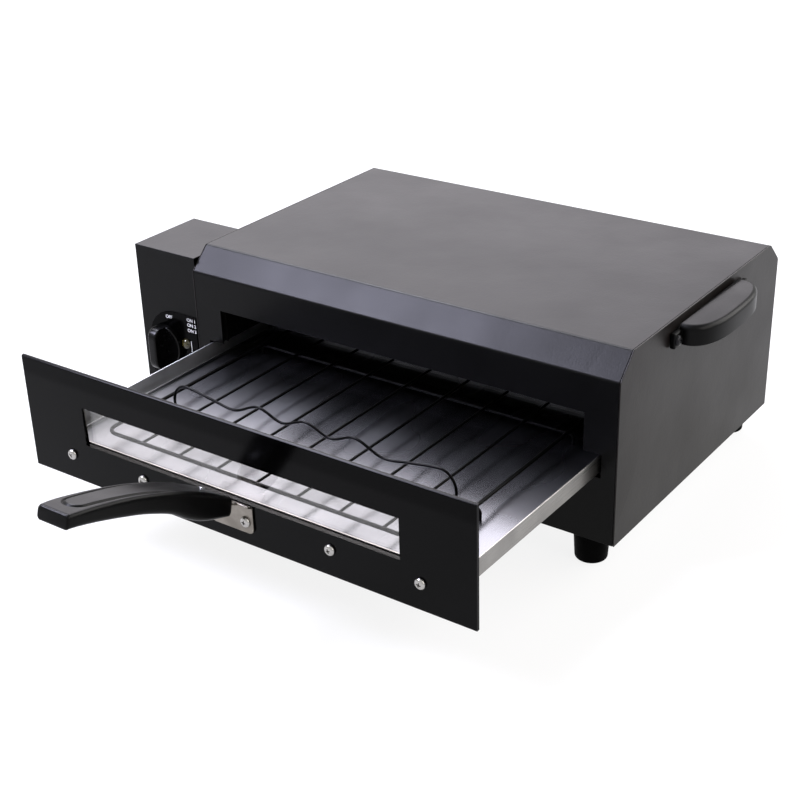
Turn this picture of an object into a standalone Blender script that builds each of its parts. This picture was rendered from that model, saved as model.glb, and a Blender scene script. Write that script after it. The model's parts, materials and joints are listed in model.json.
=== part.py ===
"""Electric table oven with a drawer that pulls out to the front.

Lengths are in metres, +Z is up and the drawer opens towards -Y.
Places are first counted from the oven's lower front left corner: X runs along the
front, Y runs to the back and Z counts from the lower edge of the steel cover.
The finished oven is then moved so that the middle of its footprint is the origin.
"""

import math

import bpy
import bmesh
from mathutils import Matrix, Vector

# Sheet metal and fits
COVER_SHEET = 0.0010
LINER_SHEET = 0.0008
SEAT_GAP = 0.0003
CUT_OVERRUN = 0.0020
DRILL_REACH = 0.0080
UNION_BITE = 0.0005
WELD_DISTANCE = 0.000005

# Round shapes
FINE_SEGMENTS = 24
SCREW_SEGMENTS = 10
HEX_SIDES = 6
BEND_STEPS = 3
BAR_END_STEPS = 6
WIRE_RESOLUTION = 2
SHARP_EDGE_DEGREES = 35.0
STRAIGHT_DEGREES = 1.0

# Oven body
BODY_WIDTH = 0.4000
BODY_DEPTH = 0.2758
BODY_HEIGHT = 0.1517
FRONT_SLOPE_DEPTH = 0.0188
FRONT_SLOPE_HEIGHT = 0.0184
REAR_SLOPE_DEPTH = 0.0182
REAR_SLOPE_HEIGHT = 0.0173
COVER_BEND = 0.0040
END_LIP = 0.0100
BASE_FLANGE_HEIGHT = 0.0120

# Drawer mouth in the front
MOUTH_SIDE = 0.0280
MOUTH_DROP = 0.0483
MOUTH_BOTTOM = 0.0540
RAIL_SLOT_SIDE = 0.0130
RAIL_SLOT_TOP = 0.0732

# Feet
FOOT_HEIGHT = 0.0240
FOOT_TOP_RADIUS = 0.0142
FOOT_BOTTOM_RADIUS = 0.0126
FOOT_EDGE = 0.0020
FOOT_INSET_X = 0.0260
FOOT_INSET_Y = 0.0148
FOOT_POCKET_RADIUS = 0.0060
FOOT_POCKET_DEPTH = 0.0140

# Screws
SCREW_RADIUS = 0.0020
SCREW_HEAD_RADIUS = 0.0038
SCREW_HEAD_HEIGHT = 0.0022
SCREW_HOLE_RADIUS = 0.0023
SCREW_TAIL = 0.0010
COVER_SCREW_LENGTH = 0.0060
COVER_SCREW_LOW_Z = 0.0400
COVER_SCREW_DROP = 0.0417

# Drawer guides inside the ends
GUIDE_BOTTOM = 0.0560
GUIDE_LIP = 0.0225
RAIL_RUN_CLEARANCE = 0.0008

# Drawer rails
DRAWER_OUT = 0.1863
RAIL_SIDE = 0.0150
RAIL_HEIGHT = 0.0142
RAIL_LEDGE = 0.0140
RAIL_LENGTH = 0.2500
RAIL_TAB_WIDTH = 0.0330
RAIL_TAB_DROP = 0.0028
STOP_TRAVEL = 0.0200
STOP_REACH = 0.0060
STOP_LENGTH = 0.0020
STOP_DROP = 0.0020

# Drip tray between the rails
TRAY_MARGIN = 0.0065
TRAY_LIP = 0.0032
TRAY_FRONT_CLEARANCE = 0.0060

# Drawer front
PANEL_OVERHANG = 0.0013
PANEL_BOTTOM = 0.0373
PANEL_HEIGHT = 0.0925
PANEL_RETURN = 0.0025
PANEL_ROLL = 0.0015
ROLL_STEPS = 3
WINDOW_SIDE = 0.0588
WINDOW_BOTTOM = 0.0700
WINDOW_HEIGHT = 0.0310
WINDOW_FLANGE = 0.0025
GLASS_THICKNESS = 0.0030
GLASS_LAP = 0.0045
RETAINER_SIDE = 0.0313
RETAINER_BOTTOM = 0.0520
RETAINER_TOP = 0.1100
PANEL_SCREW_Z = 0.0580
PANEL_SCREW_SIDE = 0.0427
PANEL_SCREW_PITCH = 0.0731
DOME_HEIGHT = 0.0026

# Handle bracket
BRACKET_WIDTH = 0.0390
BRACKET_SHEET = 0.0015
BRACKET_BOTTOM = 0.0475
BRACKET_TOP = 0.0695
BRACKET_CORNER = 0.0040
BRACKET_BEND = 0.0025
BRACKET_SHOULDER = 0.0040
TONGUE_WIDTH = 0.0210
TONGUE_LENGTH = 0.0500
TONGUE_RISE_DEGREES = 27.0
BRACKET_SCREW_OFFSET = 0.0130
BRACKET_SCREW_Z = 0.0565

# Drawer handle
HANDLE_WIDTH = 0.0270
HANDLE_REACH = 0.1460
HANDLE_RISE = 0.0710
HANDLE_ROOT_GAP = 0.0102
HANDLE_ROOT_Z = 0.0674
HANDLE_SCREW_AT = 0.0340
HANDLE_SCREW_LENGTH = 0.0160

# Wire grill
GRILL_SIDE = 0.0528
GRILL_DEPTH = 0.2250
GRILL_FRONT = 0.0265
GRILL_HEIGHT = 0.0700
GRILL_CORNER = 0.0100
GRILL_BAR_DROP = 0.0002
WELD_BITE = 0.0004
FRAME_WIRE_RADIUS = 0.0015
GRILL_WIRE_RADIUS = 0.0011
GRILL_BARS = 9
GRILL_CROSS_FRONT = 0.0570
GRILL_CROSS_REAR = 0.0400
CROSS_BEND = 0.0030
CROSS_OVERHANG = 0.0030
REST_SIDE = 0.0167
REST_HEIGHT = 0.0228
REST_SAMPLES = 3

# Oven chamber
CHAMBER_SIDE = 0.0200
CHAMBER_FRONT = 0.0060
CHAMBER_BACK = 0.0138
HOOD_DROP = 0.0237
LOWER_PAN_BOTTOM = 0.0140
LINER_FLANGE = 0.0160

# Heating elements
HEATER_RADIUS = 0.00325
HEATER_BEND = 0.0140
HEATER_BEND_STEPS = 4
UPPER_HEATER_DROP = 0.0100
LOWER_HEATER_RISE = 0.0180
HEATER_END_OUT = 0.0140
HEATER_FIRST_Y = 0.0320
HEATER_LAST_Y = 0.0660
HEATER_SIDE = 0.0380
HEATER_BACK = 0.0240
HEATER_MIDDLE_Y = 0.1400
HEATER_INNER_SIDE = 0.1100
HEATER_PLATE = 0.0020
HEATER_PLATE_MARGIN = 0.0100
HEATER_PLATE_HEIGHT = 0.0200

# Control box on the left end
BOX_WIDTH = 0.0681
BOX_FRONT = 0.0031
BOX_REAR = 0.0776
BOX_DROP = 0.0084
BOX_BOTTOM = 0.0000
BOX_BRACKET_LEG = 0.0120
BOX_BRACKET_OVER_HEATER = 0.0280
BOX_BRACKET_UNDER_HEATER = 0.0180

# Selector knob, switch and lamp
KNOB_X = 0.0404
KNOB_Z = 0.0562
KNOB_RADIUS = 0.0188
KNOB_SKIRT = 0.0050
KNOB_EDGE = 0.0008
KNOB_BAR_WIDTH = 0.0084
KNOB_BAR_LENGTH = 0.0382
KNOB_BAR_HEIGHT = 0.0140
KNOB_BAR_EDGE = 0.0012
KNOB_RECESS_RADIUS = 0.0085
KNOB_RECESS_DEPTH = 0.0024
DIAL_SHEET = 0.0005
DIAL_LEFT = 0.0600
DIAL_RIGHT = 0.0040
DIAL_TOP = 0.0885
DIAL_BOTTOM = 0.0260
DIAL_ROUND = 0.0300
SHAFT_RADIUS = 0.0030
SHAFT_KNOB_DEPTH = 0.0130
SHAFT_SWITCH_DEPTH = 0.0140
BUSHING_RADIUS = 0.0045
BUSHING_REACH = 0.0022
SWITCH_SIZE = 0.0300
SWITCH_DEPTH = 0.0200
SWITCH_NUT_RADIUS = 0.0070
SWITCH_NUT_HEIGHT = 0.0018
LAMP_X = 0.0169
LAMP_Z = 0.0616
LAMP_RADIUS = 0.0046
LAMP_RIM = 0.0010
LAMP_DOME = 0.0032
LAMP_STEM_RADIUS = 0.0034
LAMP_STEM = 0.0180
LAMP_HOLDER_RADIUS = 0.0052
LAMP_HOLDER_LENGTH = 0.0060

# Mains inlet in the back of the control box
INLET_Z = 0.0350
INLET_WIDTH = 0.0270
INLET_HEIGHT = 0.0195
INLET_DEPTH = 0.0220
INLET_FLANGE_WIDTH = 0.0500
INLET_FLANGE_HEIGHT = 0.0250
INLET_FLANGE = 0.0022
SOCKET_WIDTH = 0.0235
SOCKET_HEIGHT = 0.0160
SOCKET_DEPTH = 0.0170
SOCKET_PIN_WIDTH = 0.0020
SOCKET_PIN_HEIGHT = 0.0050
SOCKET_PIN_LENGTH = 0.0130
SOCKET_PIN_PITCH = 0.0070
SOCKET_PIN_DROP = 0.0020

# Carry handle on the right end
CARRY_LENGTH = 0.1060
CARRY_STANDOFF = 0.0032
CARRY_REACH = 0.0275
CARRY_DROP = 0.0045
CARRY_HEIGHT = 0.0162
CARRY_WALL = 0.0040
CARRY_ROUND = 0.0040
CARRY_POWER = 2.8
CARRY_LUG_LENGTH = 0.0180
CARRY_LUG_OUT = 0.0110
CARRY_LUG_THICKNESS = 0.0046
CARRY_SCREW_OUT = 0.0045
CARRY_SCREW_LENGTH = 0.0110

# Side of the drawer handle, from root to tip, as shares of its reach and rise
HANDLE_TOP_SHARES = (
    (0.000, 0.165), (0.145, 0.365), (0.260, 0.500), (0.365, 0.607), (0.520, 0.740),
    (0.650, 0.832), (0.800, 0.920), (0.905, 0.970), (0.955, 1.000),
)
HANDLE_UNDER_SHARES = (
    (0.052, 0.000), (0.202, 0.130), (0.305, 0.245), (0.405, 0.410), (0.550, 0.560),
    (0.680, 0.665), (0.820, 0.775), (0.935, 0.858), (1.000, 0.885),
)
HANDLE_WIDTH_SHARES = (0.84, 0.93, 0.98, 1.00, 1.00, 1.00, 1.02, 1.04, 1.00)
HANDLE_ROUND_SHARE = 0.16
HANDLE_ROUND_LIMIT_SHARE = 0.45

# Upper edge of the carry handle, as shares of its rounding inwards and upwards
CARRY_CROWN_SHARES = ((0.0, 0.0), (0.3, 0.7), (1.0, 1.0))

# Raised wave of the grill's rest, from its middle to one foot, as shares of its half span and height
REST_WAVE_SHARES = (
    (0.000, 1.00), (0.172, 0.71), (0.345, 1.00), (0.525, 0.62), (0.705, 0.75),
    (0.870, 0.89), (0.935, 0.86), (0.981, 0.64), (1.000, 0.33), (1.000, 0.00),
)

# Places that follow from the sizes above
MIDDLE_X = BODY_WIDTH / 2
MOUTH_WIDTH = BODY_WIDTH - MOUTH_SIDE * 2
MOUTH_TOP = BODY_HEIGHT - MOUTH_DROP
RAIL_SLOT_WIDTH = BODY_WIDTH - RAIL_SLOT_SIDE * 2
RAIL_SPAN = BODY_WIDTH - RAIL_SIDE * 2
GUIDE_FLOOR = GUIDE_BOTTOM + COVER_SHEET
RAIL_BOTTOM = GUIDE_FLOOR + SEAT_GAP
RAIL_TOP = RAIL_BOTTOM + RAIL_HEIGHT
GUIDE_CEILING = RAIL_TOP + RAIL_RUN_CLEARANCE
GUIDE_TOP = GUIDE_CEILING + COVER_SHEET
END_LIP_INSET = COVER_SHEET + SEAT_GAP
END_LIP_BACK = END_LIP_INSET + COVER_SHEET
COVER_SCREW_HIGH_Z = BODY_HEIGHT - COVER_SCREW_DROP
PANEL_FACE_Y = -DRAWER_OUT
PANEL_WIDTH = BODY_WIDTH + PANEL_OVERHANG * 2
WINDOW_WIDTH = PANEL_WIDTH - WINDOW_SIDE * 2
RETAINER_WIDTH = PANEL_WIDTH - RETAINER_SIDE * 2
PANEL_SCREW_OUTER = PANEL_WIDTH / 2 - PANEL_SCREW_SIDE
PANEL_SCREW_INNER = PANEL_SCREW_OUTER - PANEL_SCREW_PITCH
PANEL_TOP = PANEL_BOTTOM + PANEL_HEIGHT
PANEL_INNER_Y = PANEL_FACE_Y + COVER_SHEET
GLASS_FRONT_Y = PANEL_INNER_Y + WINDOW_FLANGE + SEAT_GAP
RETAINER_FACE_Y = GLASS_FRONT_Y + GLASS_THICKNESS + SEAT_GAP
RETAINER_BACK_Y = RETAINER_FACE_Y + COVER_SHEET
RAIL_FRONT_Y = RETAINER_BACK_Y + SEAT_GAP
RAIL_REAR_Y = RAIL_FRONT_Y + RAIL_LENGTH
LEDGE_TOP = RAIL_BOTTOM + COVER_SHEET
TRAY_BOTTOM = LEDGE_TOP + SEAT_GAP
TRAY_FLOOR = TRAY_BOTTOM + LINER_SHEET
TRAY_HALF = RAIL_SPAN / 2 - TRAY_MARGIN
TRAY_FRONT_Y = RAIL_FRONT_Y + TRAY_FRONT_CLEARANCE
TRAY_REAR_Y = RAIL_REAR_Y
WINDOW_TOP = WINDOW_BOTTOM + WINDOW_HEIGHT
GRILL_WIDTH = BODY_WIDTH - GRILL_SIDE * 2
GRILL_FRONT_Y = PANEL_FACE_Y + GRILL_FRONT
GRILL_REAR_Y = GRILL_FRONT_Y + GRILL_DEPTH
GRILL_BAR_Z = GRILL_HEIGHT - GRILL_BAR_DROP
CROSS_Z = GRILL_BAR_Z + WELD_BITE - GRILL_WIRE_RADIUS * 2
REST_SPAN = GRILL_WIDTH - REST_SIDE * 2
CHAMBER_WIDTH = BODY_WIDTH - CHAMBER_SIDE * 2
CHAMBER_REAR = BODY_DEPTH - CHAMBER_BACK
HOOD_TOP = BODY_HEIGHT - HOOD_DROP
HOOD_FLANGE_Z = GUIDE_TOP + SEAT_GAP
PAN_FLANGE_TOP = GUIDE_BOTTOM - SEAT_GAP
UPPER_HEATER_Z = HOOD_TOP - UPPER_HEATER_DROP
LOWER_HEATER_Z = LOWER_PAN_BOTTOM + LOWER_HEATER_RISE
HEATER_RIGHT_X = BODY_WIDTH - HEATER_SIDE
HEATER_INNER_X = BODY_WIDTH - HEATER_INNER_SIDE
HEATER_REAR_Y = CHAMBER_REAR - HEATER_BACK
BOX_LEFT_X = -BOX_WIDTH
BOX_RIGHT_X = -SEAT_GAP
BOX_TOP = BODY_HEIGHT - BOX_DROP
BOX_BRACKET_BOTTOM = LOWER_HEATER_Z + BOX_BRACKET_OVER_HEATER
BOX_BRACKET_TOP = UPPER_HEATER_Z - BOX_BRACKET_UNDER_HEATER
BOX_INNER_FRONT = BOX_FRONT + COVER_SHEET
DIAL_BACK_Y = BOX_FRONT - SEAT_GAP
DIAL_FACE_Y = DIAL_BACK_Y - DIAL_SHEET
KNOB_BACK_Y = DIAL_FACE_Y - SEAT_GAP
KNOB_SKIRT_Y = KNOB_BACK_Y - KNOB_SKIRT
KNOB_FACE_Y = KNOB_SKIRT_Y - KNOB_BAR_HEIGHT
HANDLE_ROOT_Y = PANEL_FACE_Y - HANDLE_ROOT_GAP
CARRY_TOP = BODY_HEIGHT - CARRY_DROP
CARRY_BOTTOM = CARRY_TOP - CARRY_HEIGHT

AXIS_X = Vector((1, 0, 0))
AXIS_Y = Vector((0, 1, 0))
AXIS_Z = Vector((0, 0, 1))


def clear_scene():
    for item in list(bpy.data.objects):
        bpy.data.objects.remove(item, do_unlink=True)


def paint(name, colour, roughness, metallic=0.0, alpha=1.0):
    """A plain surface with the colour, roughness and metal value of one real material."""
    material = bpy.data.materials.new(name)
    material.use_nodes = True
    shader = material.node_tree.nodes["Principled BSDF"]
    shader.inputs["Base Color"].default_value = (*colour, 1.0)
    shader.inputs["Roughness"].default_value = roughness
    shader.inputs["Metallic"].default_value = metallic
    shader.inputs["Alpha"].default_value = alpha
    return material


def black_paint(name):
    return paint(name, (0.012, 0.012, 0.014), 0.40)


def stainless(name):
    return paint(name, (0.56, 0.56, 0.55), 0.28, 1.0)


def zinc_steel(name):
    return paint(name, (0.50, 0.50, 0.50), 0.35, 1.0)


def bakelite(name):
    return paint(name, (0.010, 0.010, 0.011), 0.30)


def black_wire(name):
    return paint(name, (0.010, 0.010, 0.010), 0.45, 0.4)


class Carrier:
    """An empty that carries the pieces of one moving group; its place is on the joint's axis."""

    def __init__(self, name, place, parent=None):
        self.place = Vector(place)
        self.empty = bpy.data.objects.new(name, None)
        bpy.context.scene.collection.objects.link(self.empty)
        if parent is not None:
            self.empty.parent = parent.empty
            self.empty.location = self.place - parent.place


def add_object(name, data, carrier, place, material, rotation=None):
    piece = bpy.data.objects.new(name, data)
    bpy.context.scene.collection.objects.link(piece)
    piece.parent = carrier.empty
    piece.location = Vector(place) - carrier.place
    if rotation is not None:
        piece.rotation_euler = rotation.to_euler()
    if material is not None and not data.materials:
        data.materials.append(material)
    return piece


def as_cutter(piece):
    """Mark an object as a helper that only shapes others."""
    piece.hide_render = True
    piece.display_type = 'WIRE'
    return piece


def mesh_from(name, bm, smooth=False):
    bmesh.ops.recalc_face_normals(bm, faces=bm.faces)
    mesh = bpy.data.meshes.new(name)
    bm.to_mesh(mesh)
    bm.free()
    if smooth:
        mesh.shade_smooth()
        mesh.set_sharp_from_angle(angle=math.radians(SHARP_EDGE_DEGREES))
    return mesh


def bridge(bm, first, second, closed=True):
    count = len(first)
    spans = count if closed else count - 1
    for index in range(spans):
        follow = (index + 1) % count
        bm.faces.new((first[index], first[follow], second[follow], second[index]))


def loft_into(bm, rings):
    """Join outlines of equal point counts in order and close both ends."""
    layers = [[bm.verts.new(point) for point in ring] for ring in rings]
    for first, second in zip(layers, layers[1:]):
        bridge(bm, first, second)
    bm.faces.new(layers[0])
    bm.faces.new(list(reversed(layers[-1])))


def loft(name, rings, carrier, material=None, smooth=False, place=None):
    """An object whose surface runs through closed outlines given in oven places."""
    origin = carrier.place if place is None else Vector(place)
    bm = bmesh.new()
    loft_into(bm, [[Vector(point) - origin for point in ring] for ring in rings])
    return add_object(name, mesh_from(name, bm, smooth), carrier, origin, material)


def box_ring(low, high, y):
    return [(low[0], y, low[1]), (high[0], y, low[1]), (high[0], y, high[1]), (low[0], y, high[1])]


def block(name, low, high, carrier, material=None):
    """A box between two corners."""
    lower = (low[0], low[2])
    upper = (high[0], high[2])
    return loft(name, [box_ring(lower, upper, low[1]), box_ring(lower, upper, high[1])], carrier, material)


def blocks(name, corners, carrier, material=None):
    """Several separate boxes in one object."""
    bm = bmesh.new()
    for low, high in corners:
        lower = (low[0], low[2])
        upper = (high[0], high[2])
        rings = [box_ring(lower, upper, low[1]), box_ring(lower, upper, high[1])]
        loft_into(bm, [[Vector(point) - carrier.place for point in ring] for ring in rings])
    return add_object(name, mesh_from(name, bm), carrier, carrier.place, material)


def turned_into(bm, profile, segments, place, axis):
    """A turned solid: the profile's radii and heights run along an axis from a place."""
    turn = AXIS_Z.rotation_difference(Vector(axis)).to_matrix()
    layers = []
    for radius, height in profile:
        if radius == 0:
            layers.append([bm.verts.new(turn @ Vector((0, 0, height)) + place)])
            continue
        ring = []
        for step in range(segments):
            angle = 2 * math.pi * step / segments
            spot = Vector((radius * math.cos(angle), radius * math.sin(angle), height))
            ring.append(bm.verts.new(turn @ spot + place))
        layers.append(ring)
    pairs = list(zip(layers, layers[1:]))
    if profile[0][0] != 0:
        pairs.append((layers[-1], layers[0]))
    for first, second in pairs:
        if len(first) == 1 or len(second) == 1:
            tip, ring = (first[0], second) if len(first) == 1 else (second[0], first)
            for index in range(segments):
                bm.faces.new((tip, ring[index], ring[(index + 1) % segments]))
        else:
            bridge(bm, first, second)


def turned(name, profile, place, axis, carrier, material=None, segments=FINE_SEGMENTS):
    """A turned solid whose origin is at its place."""
    bm = bmesh.new()
    turned_into(bm, profile, segments, Vector((0, 0, 0)), axis)
    return add_object(name, mesh_from(name, bm, smooth=True), carrier, place, material)


def turned_set(name, profile, places, axis, carrier, material, segments=SCREW_SEGMENTS):
    """Equal turned pieces, numbered from one, that share their mesh."""
    bm = bmesh.new()
    turned_into(bm, profile, segments, Vector((0, 0, 0)), axis)
    mesh = mesh_from(name, bm, smooth=True)
    for number, place in enumerate(places, start=1):
        add_object(name + "_" + str(number), mesh, carrier, place, material)


def rod_profile(radius, start, end):
    return [(0, start), (radius, start), (radius, end), (0, end)]


def ring_profile(inner, outer, start, end):
    return [(inner, start), (outer, start), (outer, end), (inner, end)]


def pan_screw_profile(length, head_radius=SCREW_HEAD_RADIUS, head_height=SCREW_HEAD_HEIGHT):
    """Shank below zero, rounded head above it."""
    crown_shares = ((1.00, 0.35), (0.72, 0.92))
    profile = [(0, -length), (SCREW_RADIUS, -length), (SCREW_RADIUS, 0), (head_radius, 0)]
    profile += [(head_radius * wide, head_height * high) for wide, high in crown_shares]
    profile.append((0, head_height))
    return profile


def cut(target, cutter):
    modifier = target.modifiers.new("cut", 'BOOLEAN')
    modifier.operation = 'DIFFERENCE'
    modifier.solver = 'EXACT'
    modifier.object = as_cutter(cutter)


def unite(target, other):
    modifier = target.modifiers.new("join", 'BOOLEAN')
    modifier.operation = 'UNION'
    modifier.solver = 'EXACT'
    modifier.object = as_cutter(other)


def drill(targets, places, axis, radius, depth, carrier):
    """Round holes of one radius, each centred on its place, through every target."""
    name = targets[0].name + "_drill"
    profile = rod_profile(radius, -depth / 2, depth / 2)
    bm = bmesh.new()
    for place in places:
        turned_into(bm, profile, SCREW_SEGMENTS, Vector(place) - carrier.place, axis)
    cutter = add_object(name, mesh_from(name, bm), carrier, carrier.place, None)
    for target in targets:
        cut(target, cutter)


def arc_corner(before, corner, after, radius, steps):
    """Points of a round bend in place of one corner."""
    into = (corner - before).normalized()
    out = (after - corner).normalized()
    turn = into.angle(out)
    if turn < math.radians(STRAIGHT_DEGREES):
        return [corner]
    back = radius * math.tan(turn / 2)
    start = corner - into * back
    end = corner + out * back
    inward = (out - into).normalized()
    centre = corner + inward * (radius / math.cos(turn / 2))
    points = []
    for step in range(steps + 1):
        share = step / steps
        angle = turn * share
        weight_start = math.sin(turn - angle) / math.sin(turn)
        weight_end = math.sin(angle) / math.sin(turn)
        spoke = (start - centre) * weight_start + (end - centre) * weight_end
        points.append(centre + spoke)
    return points


def rounded(points, radius, steps=BEND_STEPS, closed=False):
    """The same path with every corner bent to a radius."""
    vectors = [Vector(point) for point in points]
    count = len(vectors)
    result = []
    for index, corner in enumerate(vectors):
        if not closed and index in (0, count - 1):
            result.append(corner)
            continue
        result += arc_corner(vectors[index - 1], corner, vectors[(index + 1) % count], radius, steps)
    return result


def offset_path(points, distance, closed=False):
    """A flat path moved sideways by a distance, to the right of its direction."""
    vectors = [Vector(point) for point in points]
    count = len(vectors)
    moved = []
    for index, point in enumerate(vectors):
        has_before = closed or index > 0
        has_after = closed or index < count - 1
        normals = []
        if has_before:
            along = (point - vectors[index - 1]).normalized()
            normals.append(Vector((along[1], -along[0])))
        if has_after:
            along = (vectors[(index + 1) % count] - point).normalized()
            normals.append(Vector((along[1], -along[0])))
        normal = sum(normals, Vector((0, 0))).normalized()
        stretch = normal.dot(normals[0])
        moved.append(point + normal * (distance / stretch))
    return moved


def folded_sheet(path, thickness):
    """Closed outline of a folded sheet whose thickness lies to the right of the path."""
    return list(path) + list(reversed(offset_path(path, thickness)))


def along_x(outline, x):
    return [(x, point[0], point[1]) for point in outline]


def along_y(outline, y):
    return [(point[0], y, point[1]) for point in outline]


def along_z(outline, z):
    return [(point[0], point[1], z) for point in outline]


def smooth_path(points, samples):
    """Points along a smooth curve through the given ones."""
    path = [Vector(point) for point in points]
    padded = [2 * path[0] - path[1]] + path + [2 * path[-1] - path[-2]]
    result = []
    for index in range(1, len(padded) - 2):
        before, start, end, after = padded[index - 1:index + 3]
        for step in range(samples):
            share = step / samples
            result.append(
                start
                + (end - before) * (share / 2)
                + (before * 2 - start * 5 + end * 4 - after) * (share ** 2 / 2)
                + (start * 3 - before - end * 3 + after) * (share ** 3 / 2)
            )
    result.append(path[-1])
    return result


def tube_data(name, paths, radius, closed=False):
    """Round wires or rods along paths, with filled ends."""
    curve = bpy.data.curves.new(name, 'CURVE')
    curve.dimensions = '3D'
    curve.bevel_depth = radius
    curve.bevel_resolution = WIRE_RESOLUTION
    curve.use_fill_caps = True
    for path in paths:
        spline = curve.splines.new('POLY')
        spline.points.add(len(path) - 1)
        for point, spot in zip(spline.points, path):
            point.co = (*spot, 1.0)
        spline.use_cyclic_u = closed
        spline.use_smooth = True
    return curve


def tubes(name, path, radius, carrier, material):
    moved = [Vector(spot) - carrier.place for spot in path]
    return add_object(name, tube_data(name, [moved], radius), carrier, carrier.place, material)


def welded_wires(name, paths, radius, carrier, material=None, closed=False):
    """Wires as a mesh, so that they can be joined where they are welded."""
    moved = [[Vector(spot) - carrier.place for spot in path] for path in paths]
    guide = bpy.data.objects.new(name + "_guide", tube_data(name + "_guide", moved, radius, closed))
    mesh = bpy.data.meshes.new_from_object(guide)
    bpy.data.objects.remove(guide)
    bm = bmesh.new()
    bm.from_mesh(mesh)
    bpy.data.meshes.remove(mesh)
    bmesh.ops.remove_doubles(bm, verts=bm.verts, dist=WELD_DISTANCE)
    return add_object(name, mesh_from(name, bm, smooth=True), carrier, carrier.place, material)


def mirrored_x(offset):
    """The two places at equal distance left and right of the oven's middle."""
    return (MIDDLE_X - offset, MIDDLE_X + offset)


# Outline of the oven's ends

def body_path():
    """Front, slopes, top and back of the cover, from the lower front edge over to the back."""
    return [
        (0, 0),
        (0, BODY_HEIGHT - FRONT_SLOPE_HEIGHT),
        (FRONT_SLOPE_DEPTH, BODY_HEIGHT),
        (BODY_DEPTH - REAR_SLOPE_DEPTH, BODY_HEIGHT),
        (BODY_DEPTH, BODY_HEIGHT - REAR_SLOPE_HEIGHT),
        (BODY_DEPTH, 0),
    ]


def wrap_cover(oven):
    path = rounded(body_path(), COVER_BEND)
    outline = folded_sheet(path, COVER_SHEET)
    left = COVER_SHEET + SEAT_GAP
    right = BODY_WIDTH - left
    cover = loft("wrap_cover", [along_x(outline, left), along_x(outline, right)], oven,
                 black_paint("cover_black_paint"))
    mouth_left = MIDDLE_X - MOUTH_WIDTH / 2
    mouth_right = MIDDLE_X + MOUTH_WIDTH / 2
    slot_left = MIDDLE_X - RAIL_SLOT_WIDTH / 2
    slot_right = MIDDLE_X + RAIL_SLOT_WIDTH / 2
    opening = [
        (slot_left, MOUTH_BOTTOM), (slot_right, MOUTH_BOTTOM), (slot_right, RAIL_SLOT_TOP),
        (mouth_right, RAIL_SLOT_TOP), (mouth_right, MOUTH_TOP), (mouth_left, MOUTH_TOP),
        (mouth_left, RAIL_SLOT_TOP), (slot_left, RAIL_SLOT_TOP),
    ]
    behind = COVER_SHEET + CUT_OVERRUN
    cutter = loft("mouth_cutter", [along_y(opening, -CUT_OVERRUN), along_y(opening, behind)], oven)
    cut(cover, cutter)
    return cover


def end_panel(name, outer_x, inward, oven):
    """A flat end with a lip folded inwards all round, under the cover."""
    outline = rounded(body_path(), COVER_BEND)
    lip_outer = offset_path(outline, END_LIP_INSET, closed=True)
    lip_inner = offset_path(outline, END_LIP_BACK, closed=True)
    inner_x = outer_x + inward * COVER_SHEET
    lip_x = inner_x + inward * END_LIP
    rings = [
        along_x(outline, outer_x), along_x(outline, inner_x), along_x(lip_outer, inner_x),
        along_x(lip_outer, lip_x), along_x(lip_inner, lip_x), along_x(lip_inner, inner_x),
    ]
    return loft(name, rings, oven, black_paint(name + "_black_paint"))


def base_pan(oven):
    """Floor sheet with a flange up the front and the back."""
    left = COVER_SHEET + SEAT_GAP
    right = BODY_WIDTH - left
    front = COVER_SHEET + SEAT_GAP
    rear = BODY_DEPTH - front
    base = block("base_pan", (left, front, 0), (right, rear, COVER_SHEET), oven,
                 zinc_steel("base_zinc_steel"))
    flange_left = COVER_SHEET + END_LIP + SEAT_GAP
    flange_right = BODY_WIDTH - flange_left
    low = COVER_SHEET / 2
    flanges = blocks("base_flanges", [
        ((flange_left, front, low), (flange_right, front + COVER_SHEET, BASE_FLANGE_HEIGHT)),
        ((flange_left, rear - COVER_SHEET, low), (flange_right, rear, BASE_FLANGE_HEIGHT)),
    ], oven)
    unite(base, flanges)
    return base


def feet(oven, base):
    """Four moulded feet, each held by a screw from below that threads into the base."""
    material = paint("foot_black_rubber", (0.010, 0.010, 0.010), 0.60)
    seat = -SEAT_GAP
    bottom = -FOOT_HEIGHT
    pocket_top = bottom + FOOT_POCKET_DEPTH
    profile = [
        (FOOT_POCKET_RADIUS, bottom), (FOOT_BOTTOM_RADIUS - FOOT_EDGE, bottom),
        (FOOT_BOTTOM_RADIUS, bottom + FOOT_EDGE), (FOOT_TOP_RADIUS, seat),
        (SCREW_HOLE_RADIUS, seat), (SCREW_HOLE_RADIUS, pocket_top), (FOOT_POCKET_RADIUS, pocket_top),
    ]
    places = [(x, y, 0) for y in (FOOT_INSET_Y, BODY_DEPTH - FOOT_INSET_Y)
              for x in (FOOT_INSET_X, BODY_WIDTH - FOOT_INSET_X)]
    turned_set("foot", profile, places, AXIS_Z, oven, material, FINE_SEGMENTS)
    drill([base], places, AXIS_Z, SCREW_HOLE_RADIUS, DRILL_REACH, oven)
    head_z = pocket_top - SEAT_GAP
    length = COVER_SHEET + SCREW_TAIL - head_z
    screw_places = [(x, y, head_z) for x, y, z in places]
    turned_set("foot_screw", pan_screw_profile(length), screw_places, -AXIS_Z, oven,
               zinc_steel("foot_screw_steel"))


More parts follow.
